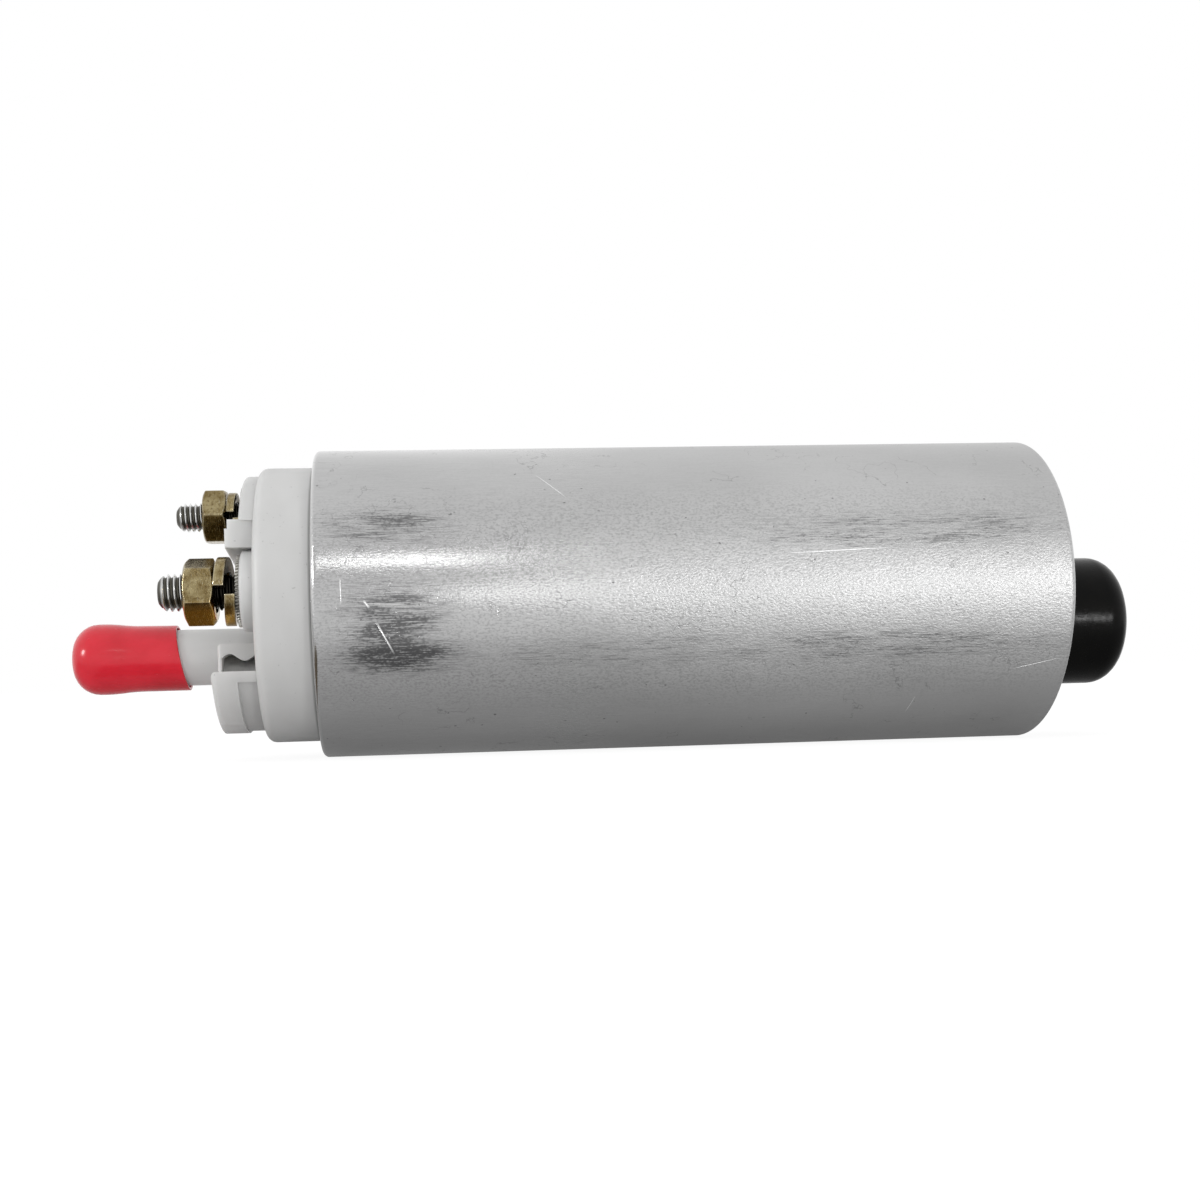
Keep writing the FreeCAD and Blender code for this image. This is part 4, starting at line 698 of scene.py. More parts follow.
EVERYDAY = {
    # slot: dark, light, metal, then roughness, grain mm, bump mm, drawn out along x y z
    "washer_steel": ((0.3, 0.29, 0.27), (0.55, 0.54, 0.5), 1,
                     (0.25, 0.45), 0.2, 0.02),
    "valve_steel": ((0.5, 0.5, 0.5), (0.62, 0.62, 0.62), 1,
                    (0.08, 0.16), 0.5, 0.002),
    "valve_plastic": ((0.015, 0.015, 0.017), (0.03, 0.03, 0.032), 0,
                      (0.4, 0.55), 0.15, 0.01),
    "valve_brass": ((0.42, 0.28, 0.09), (0.58, 0.42, 0.16), 1,
                    (0.2, 0.35), 0.1, 0.01, (1, 9, 9)),
    "relief_cup": ((0.36, 0.36, 0.36), (0.55, 0.55, 0.54), 1,
                   (0.55, 0.75), 0.12, 0.01, (1, 6, 6)),
    "spring_steel": ((0.24, 0.24, 0.25), (0.42, 0.42, 0.43), 1,
                     (0.2, 0.4), 0.15, 0.01),
    "seal_rubber": ((0.006, 0.006, 0.006), (0.014, 0.014, 0.013), 0,
                    (0.5, 0.7), 0.1, 0.01),
    "holder_moulding": ((0.02, 0.013, 0.009), (0.045, 0.03, 0.02), 0,
                        (0.4, 0.6), 0.25, 0.02),
    "carbon": ((0.01, 0.01, 0.01), (0.03, 0.03, 0.029), 0,
               (0.5, 0.8), 0.12, 0.02),
    "copper": ((0.42, 0.14, 0.05), (0.62, 0.26, 0.12), 1,
               (0.2, 0.35), 0.18, 0.03, (12, 1, 1)),
    "commutator_copper": ((0.42, 0.16, 0.07), (0.66, 0.3, 0.15), 1,
                          (0.2, 0.4), 0.12, 0.01, (1, 12, 12)),
    "shaft_steel": ((0.4, 0.4, 0.41), (0.56, 0.56, 0.57), 1,
                    (0.12, 0.25), 0.08, 0.005, (1, 12, 12)),
    "core_steel": ((0.1, 0.1, 0.105), (0.2, 0.2, 0.21), 1,
                   (0.35, 0.55), 0.35, 0.03, (1, 14, 14)),
    "thrust_plastic": ((0.34, 0.26, 0.13), (0.48, 0.38, 0.21), 0,
                       (0.35, 0.5), 0.2, 0.01),
    "coupling_plastic": ((0.02, 0.02, 0.022), (0.04, 0.04, 0.042), 0,
                         (0.35, 0.55), 0.2, 0.01),
    "bush_bronze": ((0.28, 0.15, 0.05), (0.44, 0.27, 0.11), 1,
                    (0.35, 0.6), 0.1, 0.02),
    "flux_steel": ((0.12, 0.12, 0.125), (0.24, 0.24, 0.245), 1,
                   (0.35, 0.55), 0.3, 0.02, (1, 8, 8)),
    "magnet_ferrite": ((0.012, 0.012, 0.014), (0.03, 0.03, 0.033), 0,
                       (0.55, 0.75), 0.2, 0.03),
    "clip_steel": ((0.1, 0.11, 0.15), (0.2, 0.22, 0.28), 1,
                   (0.2, 0.35), 0.2, 0.01, (8, 1, 1)),
    "pump_iron": ((0.14, 0.14, 0.14), (0.24, 0.24, 0.24), 1,
                  (0.25, 0.4), 0.15, 0.01, (1, 1, 10)),
    "rotor_steel": ((0.16, 0.155, 0.15), (0.28, 0.27, 0.26), 1,
                    (0.3, 0.45), 0.1, 0.015),
    "screw_steel": ((0.02, 0.02, 0.022), (0.06, 0.06, 0.062), 1,
                    (0.35, 0.5), 0.15, 0.01),
    "inlet_casting": ((0.3, 0.3, 0.31), (0.46, 0.46, 0.47), 1,
                      (0.4, 0.6), 0.5, 0.05),
    "spigot_tube": ((0.42, 0.42, 0.43), (0.56, 0.56, 0.57), 1,
                    (0.25, 0.4), 0.1, 0.01, (1, 12, 12)),
    "strainer_steel": ((0.32, 0.32, 0.32), (0.48, 0.48, 0.48), 1,
                       (0.25, 0.45), 0.1, 0.01),
}
finishes = {slot: everyday(slot, *row) for slot, row in EVERYDAY.items()}
print(f"{len(finishes)} everyday finishes")

# %% [markdown]
# ## The can
# The can is drawn aluminium, so its grain runs along it. Years in a box have rubbed dark
# streaks into it, and it has a few long scratches. The grain is noise drawn out along X.
# The rubbed places are soft ellipsoids, and inside them a streaky noise darkens the metal.
# A scratch is a thin box laid on the surface. Nothing is painted by where the camera is.
# A narrow band at each end of the can is a painted highlight along its rim.

# %% Masks that are put in one place
PATCH_FADES = (0.35, 1.0)
SCRATCH_FADES = (0.4, 1.0)
SCRATCH_SIDE, SCRATCH_DEPTH = -20, 14


def placed_in(tree, centre, reach, **turned_by):
    """Coordinates that are 0 at a centre and 1 at a reach along each axis, in mm."""
    return wire(tree, "Mapping", {"Vector": place_on(tree), **turned_by,
                                  "Location": [part * MM for part in centre],
                                  "Scale": [part * MM for part in reach]},
                vector_type="TEXTURE")


def patch(tree, centre, reach, strength=1.0):
    """A strength at a place on the pump, fading to 0 at the reach given for each axis."""
    far = wire(tree, "VectorMath", {0: placed_in(tree, centre, reach)}, "Value",
               operation="LENGTH")
    return remap(tree, far, *PATCH_FADES, strength, 0.0)


def scratch(tree, start, end, width):
    """A straight scratch between two points of (x, z) on the side that faces -Y."""
    run = Vector(end) - Vector(start)
    middle = (Vector(start) + Vector(end)) / 2
    along = placed_in(tree, (middle.x, SCRATCH_SIDE, middle.y),
                      (run.length / 2, SCRATCH_DEPTH, width / 2),
                      Rotation=(0, -math.atan2(run.y, run.x), 0))
    shares = wire(tree, "VectorMath", {0: along}, operation="ABSOLUTE")
    parts = tree.nodes.new("ShaderNodeSeparateXYZ")
    tree.links.new(shares, parts.inputs[0])
    edge = maths(tree, maths(tree, parts.outputs[0], parts.outputs[2], "MAXIMUM"),
                 parts.outputs[1], "MAXIMUM")
    return remap(tree, edge, *SCRATCH_FADES, 1.0, 0.0)


def brightest(tree, masks):
    """The highest of several masks."""
    top = masks[0]
    for mask in masks[1:]:
        top = maths(tree, top, mask, "MAXIMUM")
    return top


# %% Where the can is rubbed, handled and scratched
RUBBED = (
    # centre and reach in mm, strength
    ((-41, -19.3, 8.7), (14, 7, 4.0), 0.75),
    ((-40, -20.9, -3.2), (11, 7, 8.2), 0.85),
    ((-39.5, -19.6, -7.6), (14, 7, 3.8), 0.95),
    ((-6, -19.8, -7.8), (44, 7, 3.8), 0.45),
    ((28, -20.1, 7.4), (40, 7, 4.0), 0.6),
    ((26, -19.7, -8.0), (42, 7, 3.8), 0.6),
    ((-30, 8, 20), (18, 4, 6), 0.7),
    ((20, 16, 14), (20, 5, 5), 0.6),
    ((5, 20, -8), (30, 5, 4), 0.7),
)
HANDLED = (
    # centre and reach in mm
    ((0, -21, -1.0), (130, 14, 17)),
    ((0, 14, 14), (90, 9, 12)),
    ((0, 13, -15), (90, 12, 10)),
)
SCRATCHES = (
    # start and end as (x, z), and width, in mm
    ((-46.9, 2.4), (-46.8, -1.0), 0.16),
    ((-42.5, -3.2), (-40.2, -7.6), 0.24),
    ((-21.0, 16.1), (-17.1, 12.5), 0.12),
    ((11.5, 4.4), (25.5, 4.9), 0.2),
    ((-44.0, -0.6), (-43.2, -1.6), 0.3),
    ((30.1, -14.9), (29.4, -17.2), 0.12),
    ((42.5, -11.6), (49.5, -10.2), 0.1),
    ((-44.2, -1.0), (-38.6, -1.2), 0.12),
)
print(f"{len(RUBBED)} rubbed places and {len(SCRATCHES)} scratches")

# %% The can's own grains
CAN_END = 50.7
CAN_GRAINS = {
    # size in mm, drawn out along x y z, detail, shift
    "fibres": (0.07, (40, 1, 1), 4, 0.0),
    "lines": (0.13, (30, 1, 1), 3, 0.019),
    "streaks": (0.17, (9, 1, 1), 3, 0.013),
    "pebbles": (0.24, (1.6, 1, 1), 3, 0.027),
    "clouds": (14, (2.2, 1, 1), 2, 0.041),
    "pits": (0.6, (1.5, 1, 1), 1, 0.067),
    "hairs": (5, (1, 1, 1), 4, 0.083),
    "hair_gaps": (7, (1, 1, 1), 2, 0.091),
    "rub_gaps": (1.7, (6, 1, 1), 3, 0.057),
}
print(f"the can has {len(CAN_GRAINS)} grains")

# %% Masks for the can's wear
HAIR_WIDTH, HAIR_SHARE = 0.007, 0.6
HAIR_GAPS, PITS = (0.54, 0.6), (0.77, 0.8)
STREAKS_SHARE, PEBBLES_SHARE = 0.33, 0.34
# Four values are a range of a noise and the range that it becomes.
RUB_GAPS = (0.35, 0.6, 0.6, 1.0)
HANDLED_MORE = (0.0, 0.5, 0.15, 1.0)
RUB_POWER, RUB_PULL, RUB_RANGE = 0.7, 0.2, (0.57, 0.68)
RIM_HIGHLIGHT_WIDTH, RIM_HIGHLIGHT_STRENGTH = 0.55, 0.6


def can_flaws(tree, grains):
    """Pits, and hairlines where a slow noise crosses its middle."""
    pits = remap(tree, grains["pits"], *PITS)
    contour = maths(tree, maths(tree, grains["hairs"], 0.5, "SUBTRACT"), 0, "ABSOLUTE")
    hairs = maths(tree, remap(tree, contour, 0.0, HAIR_WIDTH, 1.0, 0.0),
                  remap(tree, grains["hair_gaps"], *HAIR_GAPS))
    return maths(tree, pits, maths(tree, hairs, HAIR_SHARE), "MAXIMUM")


def can_rubs(tree, grains, rubbed):
    """The streaky noise, and the dark rubs that it makes where the can is rubbed."""
    streaky = maths(tree, grains["streaks"], grains["lines"], "ADD")
    streaky = maths(tree, maths(tree, streaky, STREAKS_SHARE),
                    maths(tree, grains["pebbles"], PEBBLES_SHARE), "ADD")
    dense = maths(tree, streaky, maths(tree, rubbed, RUB_PULL), "ADD")
    rubs = maths(tree, maths(tree, rubbed, RUB_POWER, "POWER"), remap(tree, dense, *RUB_RANGE))
    return streaky, rubs


def can_wear(tree, grains):
    """Every mask of the can's wear by its name, and how far along X a point lies."""
    rubbed = brightest(tree, [patch(tree, *place) for place in RUBBED])
    rubbed = maths(tree, rubbed, remap(tree, grains["rub_gaps"], *RUB_GAPS))
    handled = brightest(tree, [patch(tree, *place) for place in HANDLED])
    along = coordinate(tree, 0)
    # Painted highlight along the rim at both ends of the can.
    rim = remap(tree, maths(tree, along, 0, "ABSOLUTE"), (CAN_END - RIM_HIGHLIGHT_WIDTH) * MM,
                CAN_END * MM)
    marks = brightest(tree, [scratch(tree, *line) for line in SCRATCHES])
    streaky, rubs = can_rubs(tree, grains, rubbed)
    return {"along": along, "rubbed": rubbed, "streaky": streaky, "rubs": rubs,
            "handled": remap(tree, handled, *HANDLED_MORE), "marks": marks,
            "flaws": can_flaws(tree, grains),
            "bright": maths(tree, marks, maths(tree, rim, RIM_HIGHLIGHT_STRENGTH), "MAXIMUM")}


# %% The can's colour
BARE_RANGE, PEBBLE_RANGE = (0.75, 1.25), (0.54, 0.36)
BARE_DARK, BARE_LIGHT = (0.46, 0.46, 0.46), (0.54, 0.54, 0.54)
MOTTLED, STAINED = (0.27, 0.27, 0.27), (0.085, 0.085, 0.087)
# Scratches and the painted rim highlight share one pale colour.
PITTED, SCRATCH_AND_RIM_HIGHLIGHT = (0.12, 0.12, 0.12), (0.86, 0.86, 0.86)
MOTTLED_SHARE, PITTED_SHARE = 0.5, 0.7


def can_colour(tree, grains, wear):
    """Bare metal, mottled, dark rub stains, pits, pale scratches, and a painted rim highlight.
    """
    shade = maths(tree, grains["fibres"], grains["clouds"], "ADD")
    bare = tint(tree, remap(tree, shade, *BARE_RANGE), BARE_DARK, BARE_LIGHT)
    tint_share = maths(tree, remap(tree, grains["pebbles"], *PEBBLE_RANGE), wear["handled"])
    mottled = tint(tree, maths(tree, tint_share, MOTTLED_SHARE), bare, MOTTLED)
    patched = tint(tree, wear["rubs"], mottled, STAINED)
    pitted = tint(tree, maths(tree, wear["flaws"], PITTED_SHARE), patched, PITTED)
    return tint(tree, wear["bright"], pitted, SCRATCH_AND_RIM_HIGHLIGHT)


# %% The can's gloss and relief
# Towards its left end the can is smoother and shinier.
GLOSS_ALONG = (-0.035, 0.005, 0.13, 0.44)
DIMPLES_ALONG = (-0.035, 0.0, 0.15, 1.0)
GLOSS_WANDER, RUBS_DULLER = 0.05, 0.12
LINES_DEPTH, DIMPLES_DEPTH, SCUFFS_DEPTH, GROOVES_DEPTH = 0.006, 0.065, 0.03, -0.03


def can_roughness(tree, grains, wear):
    """Smooth at the left end, rougher to the right and duller where the can is rubbed."""
    wander = by_grain(tree, grains["fibres"], -GLOSS_WANDER, GLOSS_WANDER)
    rough = maths(tree, remap(tree, wear["along"], *GLOSS_ALONG), wander, "ADD")
    return maths(tree, rough, maths(tree, wear["rubs"], RUBS_DULLER), "ADD")


def can_relief(tree, grains, wear):
    """Drawn lines, dimples where it was handled, scuffs, and grooves for the scratches."""
    drawn_lines = relief(tree, grains["fibres"], LINES_DEPTH)
    dimpled = maths(tree, wear["handled"], remap(tree, wear["along"], *DIMPLES_ALONG))
    dimples = relief(tree, maths(tree, grains["pebbles"], dimpled), DIMPLES_DEPTH,
                     drawn_lines)
    scuffs = relief(tree, maths(tree, wear["rubbed"], wear["streaky"]), SCUFFS_DEPTH, dimples)
    return relief(tree, maths(tree, wear["marks"], wear["flaws"], "MAXIMUM"), GROOVES_DEPTH,
                  scuffs)


# %% Drawn aluminium
def can_finish():
    """The can's finish, out of its grains and its wear."""
    material, tree, shader = new_finish("can", Metallic=1.0)
    grains = {name: grain(tree, *row) for name, row in CAN_GRAINS.items()}
    wear = can_wear(tree, grains)
    feed(tree, shader, Base_Color=can_colour(tree, grains, wear),
         Roughness=can_roughness(tree, grains, wear), Normal=can_relief(tree, grains, wear))
    return material


finishes["can"] = can_finish()
print(f"can: {len(finishes['can'].node_tree.nodes)} shader nodes")

# %% [markdown]
# ## The white moulding
# The outlet cover is acetal, a plastic that lets a little light in, so its edges glow and
# its shadows are soft. Subsurface scattering does that. The thin parts in front of the
# cover glow most, and they get a painted glow: their colour is a little whiter. The mould
# leaves a fine, even grain and faint clouds where the plastic flowed, and a narrow band
# beside the can is darker.

# %% White acetal
GLOW_REACH, GLOW_COLOUR = 0.0025, (1.0, 1.0, 0.95)
THIN_PARTS = (-60.5, -62.5)
FLOW_RANGE, SPECKS = (0.35, 0.65), (0.74, 0.8)
SEAM_WIDE, SEAM_NARROW = 0.5, 0.2
MOULDED_DARK, MOULDED_LIGHT = (0.535, 0.535, 0.53), (0.585, 0.585, 0.58)
THIN_PARTS_PAINTED_GLOW, SPECK_AND_SEAM_GREY = (0.65, 0.65, 0.645), (0.17, 0.17, 0.165)
SPECKS_SHARE, SEAM_SHARE = 0.35, 0.8


def moulding_finish():
    """White plastic, flow clouds, specks, darker by the can and with a painted glow in front.
    """
    material, tree, shader = new_finish("white_moulding", Subsurface_Weight=0.6,
                                        Subsurface_Scale=GLOW_REACH,
                                        Subsurface_Radius=GLOW_COLOUR)
    skin = grain(tree, 0.16, detail=2)
    flow = grain(tree, 7, (1, 1, 2.5), 3, 0.02)
    specks = remap(tree, grain(tree, 0.5, detail=1, shift=0.05), *SPECKS)
    along = coordinate(tree, 0)
    # Darker in a narrow band beside the can's lip.
    seam = remap(tree, along, -(CAN_END + SEAM_WIDE) * MM, -(CAN_END + SEAM_NARROW) * MM,
                 0.0, SEAM_SHARE)
    # Painted glow: the thin parts in front of the cover are whiter.
    thin = remap(tree, along, THIN_PARTS[0] * MM, THIN_PARTS[1] * MM)
    clean = tint(tree, remap(tree, flow, *FLOW_RANGE), MOULDED_DARK, MOULDED_LIGHT)
    specks_and_seam = maths(tree, maths(tree, specks, SPECKS_SHARE), seam, "MAXIMUM")
    feed(tree, shader,
         Base_Color=tint(tree, specks_and_seam, tint(tree, thin, clean, THIN_PARTS_PAINTED_GLOW), SPECK_AND_SEAM_GREY),
         Roughness=by_grain(tree, skin, 0.36, 0.48), Normal=relief(tree, skin, 0.004))
    return material


finishes["white_moulding"] = moulding_finish()
print(f"white moulding: glows {GLOW_REACH / MM} mm deep")

# %% [markdown]
# ## The terminals' metals
# The nuts and lock washers are zinc plated and yellow passivated. That colour is never
# even: it runs from straw to brown, and spanners leave fine lines in the flats. Their edges
# are paler, from wear and as a painted highlight, and the larger nut's lower face has a
# painted reflection. The studs are bright zinc, with painted shade in the thread's roots
# and a painted shadow behind the nut. The shade in the roots is found by how far a point
# lies from the stud's own axis.

# %% Yellow passivated zinc
STRAW_DARK, STRAW_LIGHT = (0.19, 0.14, 0.06), (0.34, 0.28, 0.15)
# The orange patch on the larger nut's lower face is a painted reflection.
BROWN, LOWER_FACE_REFLECTION = (0.1, 0.06, 0.018), (0.72, 0.4, 0.07)
SPANNER_LINE, WORN_EDGE_AND_HIGHLIGHT = (0.62, 0.58, 0.45), (0.8, 0.76, 0.62)
REFLECTION_FROM_AXIS, REFLECTION_REACH = (-2.1, -3.6), (8, 3.2, 3.2)
CLOUD_RANGE, SPOT_RANGE, LINE_RANGE = (0.38, 0.62), (0.52, 0.68), (0.6, 0.7)
BROWN_SHARE, LINE_SHARE, EDGE_SHARE = 0.7, 0.35, 0.85
LINE_GLOSS = (0.35, 0.65, 0.1, 0.28)


def passivated_finish():
    """Straw to brown, spanner lines, a painted reflection under the larger nut, paler edges.
    """
    material, tree, shader = new_finish("yellow_plating", Metallic=1.0)
    clouds = grain(tree, 1.6, detail=3)
    lines = grain(tree, 0.1, (1, 7, 7), 3, 0.01)
    spots = grain(tree, 0.35, detail=4, shift=0.04)
    brown_spots = maths(tree, remap(tree, spots, *SPOT_RANGE), BROWN_SHARE)
    spanner_lines = maths(tree, remap(tree, lines, *LINE_RANGE), LINE_SHARE)
    low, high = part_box("positive_nut")
    under = axis_of("positive_nut") / MM + Vector(((low.x + high.x) / 2 / MM,
                                                   *REFLECTION_FROM_AXIS))
    straw = tint(tree, remap(tree, clouds, *CLOUD_RANGE), STRAW_DARK, STRAW_LIGHT)
    browned = tint(tree, brown_spots, straw, BROWN)
    # Painted reflection on the larger nut's lower face.
    patched = tint(tree, patch(tree, under, REFLECTION_REACH), browned, LOWER_FACE_REFLECTION)
    scored = tint(tree, spanner_lines, patched, SPANNER_LINE)
    # Sharp edges turn paler: partly wear on the plating, partly a painted highlight.
    tint_share = maths(tree, sharp_edges(tree, 0.16), EDGE_SHARE)
    feed(tree, shader, Base_Color=tint(tree, tint_share, scored, WORN_EDGE_AND_HIGHLIGHT),
         Roughness=remap(tree, lines, *LINE_GLOSS),
         Normal=relief(tree, lines, 0.012, relief(tree, spots, 0.012)))
    return material


finishes["yellow_plating"] = passivated_finish()
# The patch printed here is the painted reflection on the larger nut's lower face.
print(f"yellow plating: a painted_reflection {REFLECTION_FROM_AXIS} mm from the larger nut's axis")

# %% Bright zinc with a dark thread
ZINC_DARK, ZINC_LIGHT = (0.6, 0.6, 0.6), (0.95, 0.95, 0.94)
# Painted shade for the thread's roots, and a painted shadow for the stud behind the nut.
ROOT_SHADE, SHADED = (0.09, 0.085, 0.07), (0.02, 0.018, 0.015)
CREST_SHARE = 0.15
ROOT_ROUGH, CREST_ROUGH = 0.4, 0.14


def stud_finish(pole, crest, pitch):
    """Clean zinc crests, painted shade in the thread's roots, a painted shadow behind the nut.
    """
    material, tree, shader = new_finish(f"{pole}_stud_zinc", Metallic=1.0)
    place = place_on(tree)
    centred = wire(tree, "Mapping", {"Vector": place, "Location": -axis_of(f"{pole}_stud")})
    across = wire(tree, "VectorMath", {0: centred, 1: (0, 1, 1)}, operation="MULTIPLY")
    ring = wire(tree, "VectorMath", {0: across}, "Value", operation="LENGTH")
    # Painted shade: the colour darkens from the crests down into the thread's roots.
    crests = remap(tree, ring, crest - ROOT_SHARE * pitch, crest - CREST_SHARE * pitch)
    nut_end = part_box(f"{pole}_nut")[1].x
    # Painted shadow: behind the nut the stud takes a near-black colour.
    clear_of_nut_shadow = remap(tree, wire(tree, "SeparateXYZ", {0: place}), nut_end - MM, nut_end,
                        1, 0)
    wear = grain(tree, 0.25, detail=3)
    clean = tint(tree, wear, ZINC_DARK, ZINC_LIGHT)
    feed(tree, shader,
         Base_Color=tint(tree, clear_of_nut_shadow, SHADED, tint(tree, crests, ROOT_SHADE, clean)),
         Roughness=remap(tree, crests, 0, 1, ROOT_ROUGH, CREST_ROUGH),
         Normal=relief(tree, wear, 0.008))
    return material


for pole, radius, pitch, *_ in TERMINALS:
    finishes[f"{pole}_stud"] = stud_finish(pole, radius, pitch)
    print(f"{pole} stud: painted_shade inside {(radius - CREST_SHARE * pitch) / MM:.2f} mm")

# %% [markdown]
# ## The caps' plastics
# Dipped vinyl is bright red, slightly clear, and has a soft gloss over a faint orange peel.
# The black cap is harder and shinier, with scuffs from the box it came in.

# %% Red vinyl and black polythene
SCUFF_RANGE = (0.6, 0.75)


def cap_finish(name, dark, light, rough, peel, scuff, **sockets):
    """Soft plastic with an orange peel of peel millimetres, rougher where it is scuffed."""
    material, tree, shader = new_finish(name, **sockets)
    skin = grain(tree, peel, detail=2)
    clouds = grain(tree, 4, detail=3, shift=0.03)
    scuffs = remap(tree, grain(tree, 0.3, (4, 1, 1), 5, 0.02), *SCUFF_RANGE)
    feed(tree, shader, Base_Color=tint(tree, remap(tree, clouds, *FLOW_RANGE), dark, light),
         Roughness=maths(tree, by_grain(tree, skin, *rough), maths(tree, scuffs, scuff),
                         "ADD"),
         Normal=relief(tree, skin, 0.012, relief(tree, scuffs, 0.004)))
    return material


finishes["red_cap"] = cap_finish(
    "red_cap", dark=(0.58, 0.010, 0.024), light=(0.66, 0.016, 0.034), rough=(0.18, 0.26),
    peel=0.9, scuff=0.06, Subsurface_Weight=0.12, Subsurface_Scale=0.001,
    Specular_IOR_Level=0.45)
finishes["black_cap"] = cap_finish(
    "black_cap", dark=(0.002, 0.002, 0.0018), light=(0.004, 0.0037, 0.0032),
    rough=(0.17, 0.25), peel=0.6, scuff=0.12, Specular_IOR_Level=0.08)
print(f"{len(finishes)} finishes in all")

# %% [markdown]
# ## Dressing the pump
# The imported record says which finish each node takes. A replaced node is hidden, and the
# piece that stands for it takes the same finish. A stud has a finish of its own, because
# the painted shade in its thread is found from its own axis.

# %% Every piece gets its finish
for part in frame["record"]["subparts"]:
    shown = replaced.get(part["node"], frame["nodes"][part["node"]])
    shown.data.materials.clear()
    finish = finishes.get(part["node"]) or finishes[part["material_slot"]]
    shown.data.materials.append(finish)
print(f"{len(replaced)} nodes replaced by detailed pieces")

# %% [markdown]
# ## The ground
# The pump lies on a pale floor in a white room. The photograph has a pure white ground, so
# rays from the camera see white, and the floor keeps a soft shadow under the can. In the
# can's mirror the paper has a painted shade close to the pump and a painted glow further
# away. A card under the terminals, laid as a photographer lays one, shows in reflections
# alone: it paints a dark reflection into the nuts' lower faces, where they would mirror the
# pale floor.

# %% Sheets on the ground, and the rays that look at them
def lying_sheet(name, size, place, finish):
    """A flat sheet, which isn't part of the pump."""
    work = bmesh.new()
    bmesh.ops.create_grid(work, x_segments=1, y_segments=1, size=0.5)
    bmesh.ops.scale(work, verts=work.verts, vec=(*size, 1))
    bmesh.ops.translate(work, verts=work.verts, vec=place)
    mesh = bpy.data.meshes.new(name)
    work.to_mesh(mesh)
    work.free()
    mesh.materials.append(finish)
    sheet = bpy.data.objects.new(name, mesh)
    scene.collection.objects.link(sheet)
    return sheet


def looking_rays(tree):
    """1 for the camera's rays, also through clear things, and 1 for mirrored rays."""
    rays = tree.nodes.new("ShaderNodeLightPath").outputs
    straight = maths(tree, rays["Is Camera Ray"], rays["Is Transmission Ray"], "MAXIMUM")
    return straight, rays["Is Glossy Ray"]


# %% Floor
FLOOR_GAP = 0.02 * MM
FLOOR_LEVEL = cad_box[0].z - FLOOR_GAP
FLOOR_SIZE = (8, 8)
PAPER_WHITE, PURE_WHITE = (0.7, 0.7, 0.7, 1), (1, 1, 1, 1)
MIRRORED_SHARE, PAPER_SHARE = 0.9, 0.75
MIRRORED_SHADE_AND_GLOW = (0.008, 0.061, 0.32, 1.21)
SEEN_STRENGTH = 1.21

paper = bpy.data.materials.new("studio_paper")
paper.use_nodes = True
tree = paper.node_tree
tree.nodes.clear()
straight, mirrored = looking_rays(tree)
seen = maths(tree, straight, maths(tree, mirrored, MIRRORED_SHARE), "MAXIMUM")
# In reflections the paper has a painted shade close to the pump and a painted glow further
# off.
from_pump = maths(tree, coordinate(tree, 1), 0, "ABSOLUTE")
strength = remap(tree, straight, 0, 1, remap(tree, from_pump, *MIRRORED_SHADE_AND_GLOW),
                 SEEN_STRENGTH)
matt = wire(tree, "BsdfDiffuse", {"Color": PAPER_WHITE})
glow = wire(tree, "Emission", {"Color": PURE_WHITE, "Strength": strength})
blend = wire(tree, "MixShader", {0: maths(tree, seen, PAPER_SHARE), 1: matt, 2: glow})
out = tree.nodes.new("ShaderNodeOutputMaterial")
tree.links.new(blend, out.inputs["Surface"])
lying_sheet("floor", FLOOR_SIZE, (0, 0, FLOOR_LEVEL), paper)
print(f"floor at z = {FLOOR_LEVEL / MM:.2f} mm")

# %% Card for a painted reflection under the terminals
CARD_SIZE, CARD_AT = (0.026, 0.030), (-0.073, -0.022)

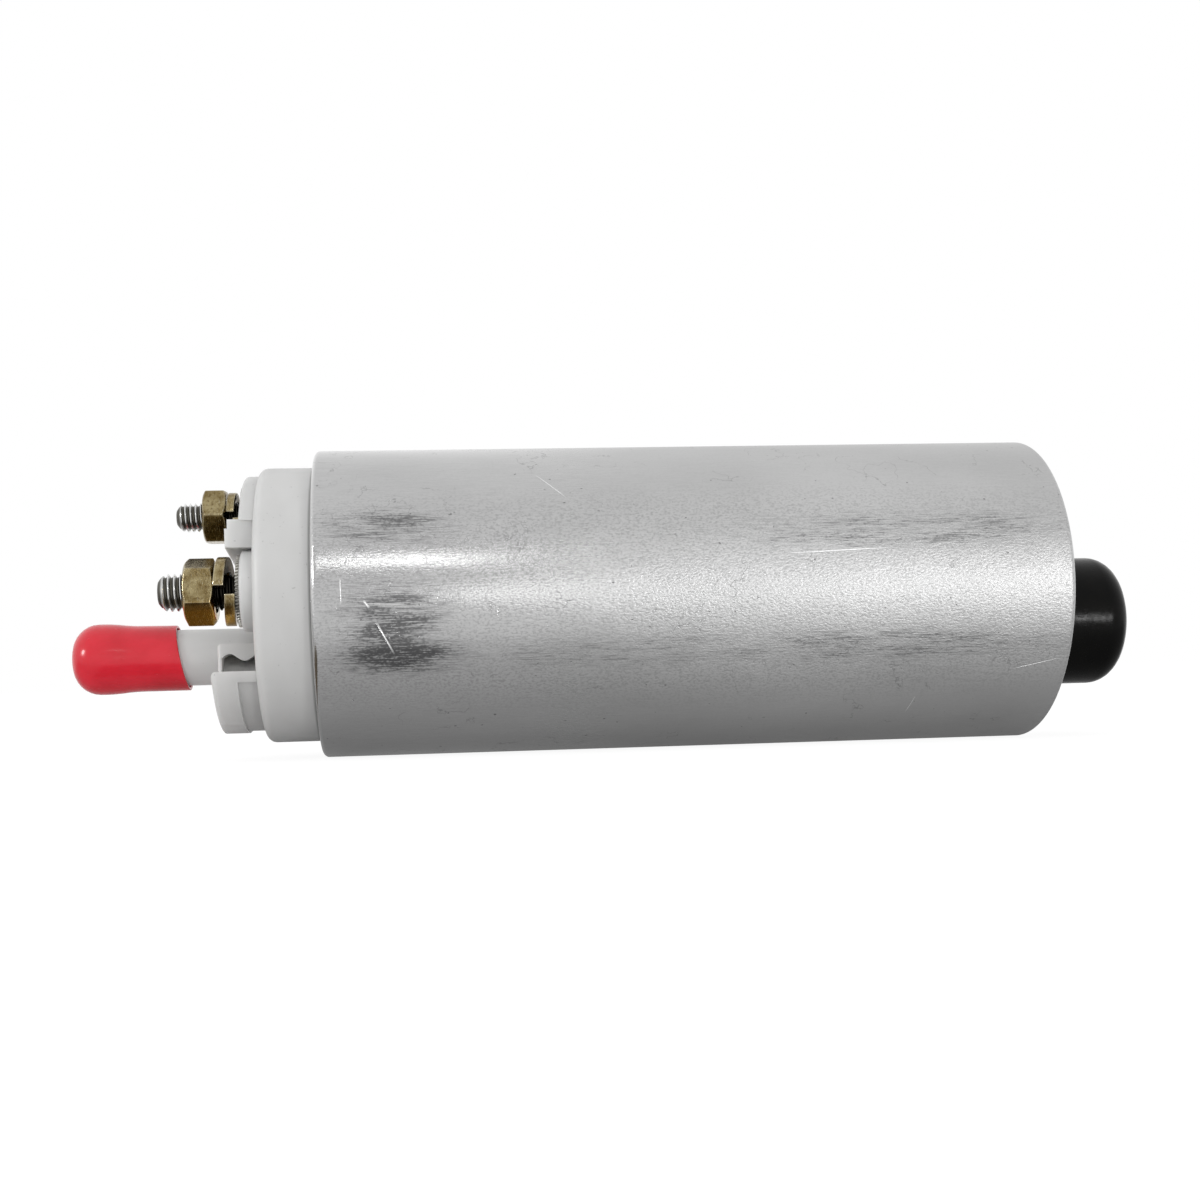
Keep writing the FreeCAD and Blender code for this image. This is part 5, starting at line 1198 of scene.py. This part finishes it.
# The card paints a dark brown reflection into the nuts' lower faces.
card_paper, *_ = new_finish("reflection_card", Base_Color=(0.14, 0.11, 0.07, 1), Roughness=0.9)
card = lying_sheet("reflection_card", CARD_SIZE, (*CARD_AT, FLOOR_LEVEL + MM), card_paper)
card.visible_camera = card.visible_diffuse = card.visible_shadow = False
card.visible_transmission = False
print(f"card of {CARD_SIZE} m")

# %% [markdown]
# ## The light
# A white room lights the pump from all round, and is pure white where it is looked at. Six
# softboxes do the rest. The strip box draws the narrow bright band on the can's left, the
# window and lamp boxes the broad one on its right, and the left box lights the terminals.
# The top and front boxes only fill, so gloss doesn't show them.

# %% World
ROOM_LIGHT, ROOM_SEEN = 0.72, 1.0

world = bpy.data.worlds.new("white_room")
scene.world = world
world.use_nodes = True
tree = world.node_tree
tree.nodes.clear()
straight, mirrored = looking_rays(tree)
seen = maths(tree, straight, mirrored, "MAXIMUM")
strength = remap(tree, seen, 0, 1, ROOM_LIGHT, ROOM_SEEN)
room = wire(tree, "Background", {"Color": PURE_WHITE, "Strength": strength})
out = tree.nodes.new("ShaderNodeOutputWorld")
tree.links.new(room, out.inputs["Surface"])
print("the room shines at", ROOM_LIGHT)

# %% Lamps
SOFTBOXES = (
    # name, place, width and height, watts, whether gloss shows it
    ("window_box", (0.36, -1.0, 0.02), (0.7, 0.26), 1.2, True),
    ("lamp_box", (0.56, -1.0, 0.03), (0.12, 0.16), 2.3, True),
    ("strip_box", (-0.03, -0.83, 0.44), (0.16, 0.032), 0.115, True),
    ("left_box", (-0.9, -0.4, 0.3), (0.18, 0.18), 2.5, True),
    ("top_box", (0.0, -0.3, 1.0), (0.9, 0.9), 0.3, False),
    ("front_box", (-0.2, -1.0, 0.1), (0.8, 0.4), 1.5, False),
)

for name, place, size, power, gloss in SOFTBOXES:
    lamp = bpy.data.lights.new(name, "AREA")
    lamp.shape = "RECTANGLE"
    lamp.size, lamp.size_y = size
    lamp.energy = power
    softbox = bpy.data.objects.new(name, lamp)
    scene.collection.objects.link(softbox)
    softbox.location = place
    softbox.rotation_euler = (-Vector(place)).to_track_quat("-Z", "Y").to_euler()
    softbox.visible_camera, softbox.visible_glossy = False, gloss
    print(f"{name}: {power} W at {Vector(place).length:.2f} m")
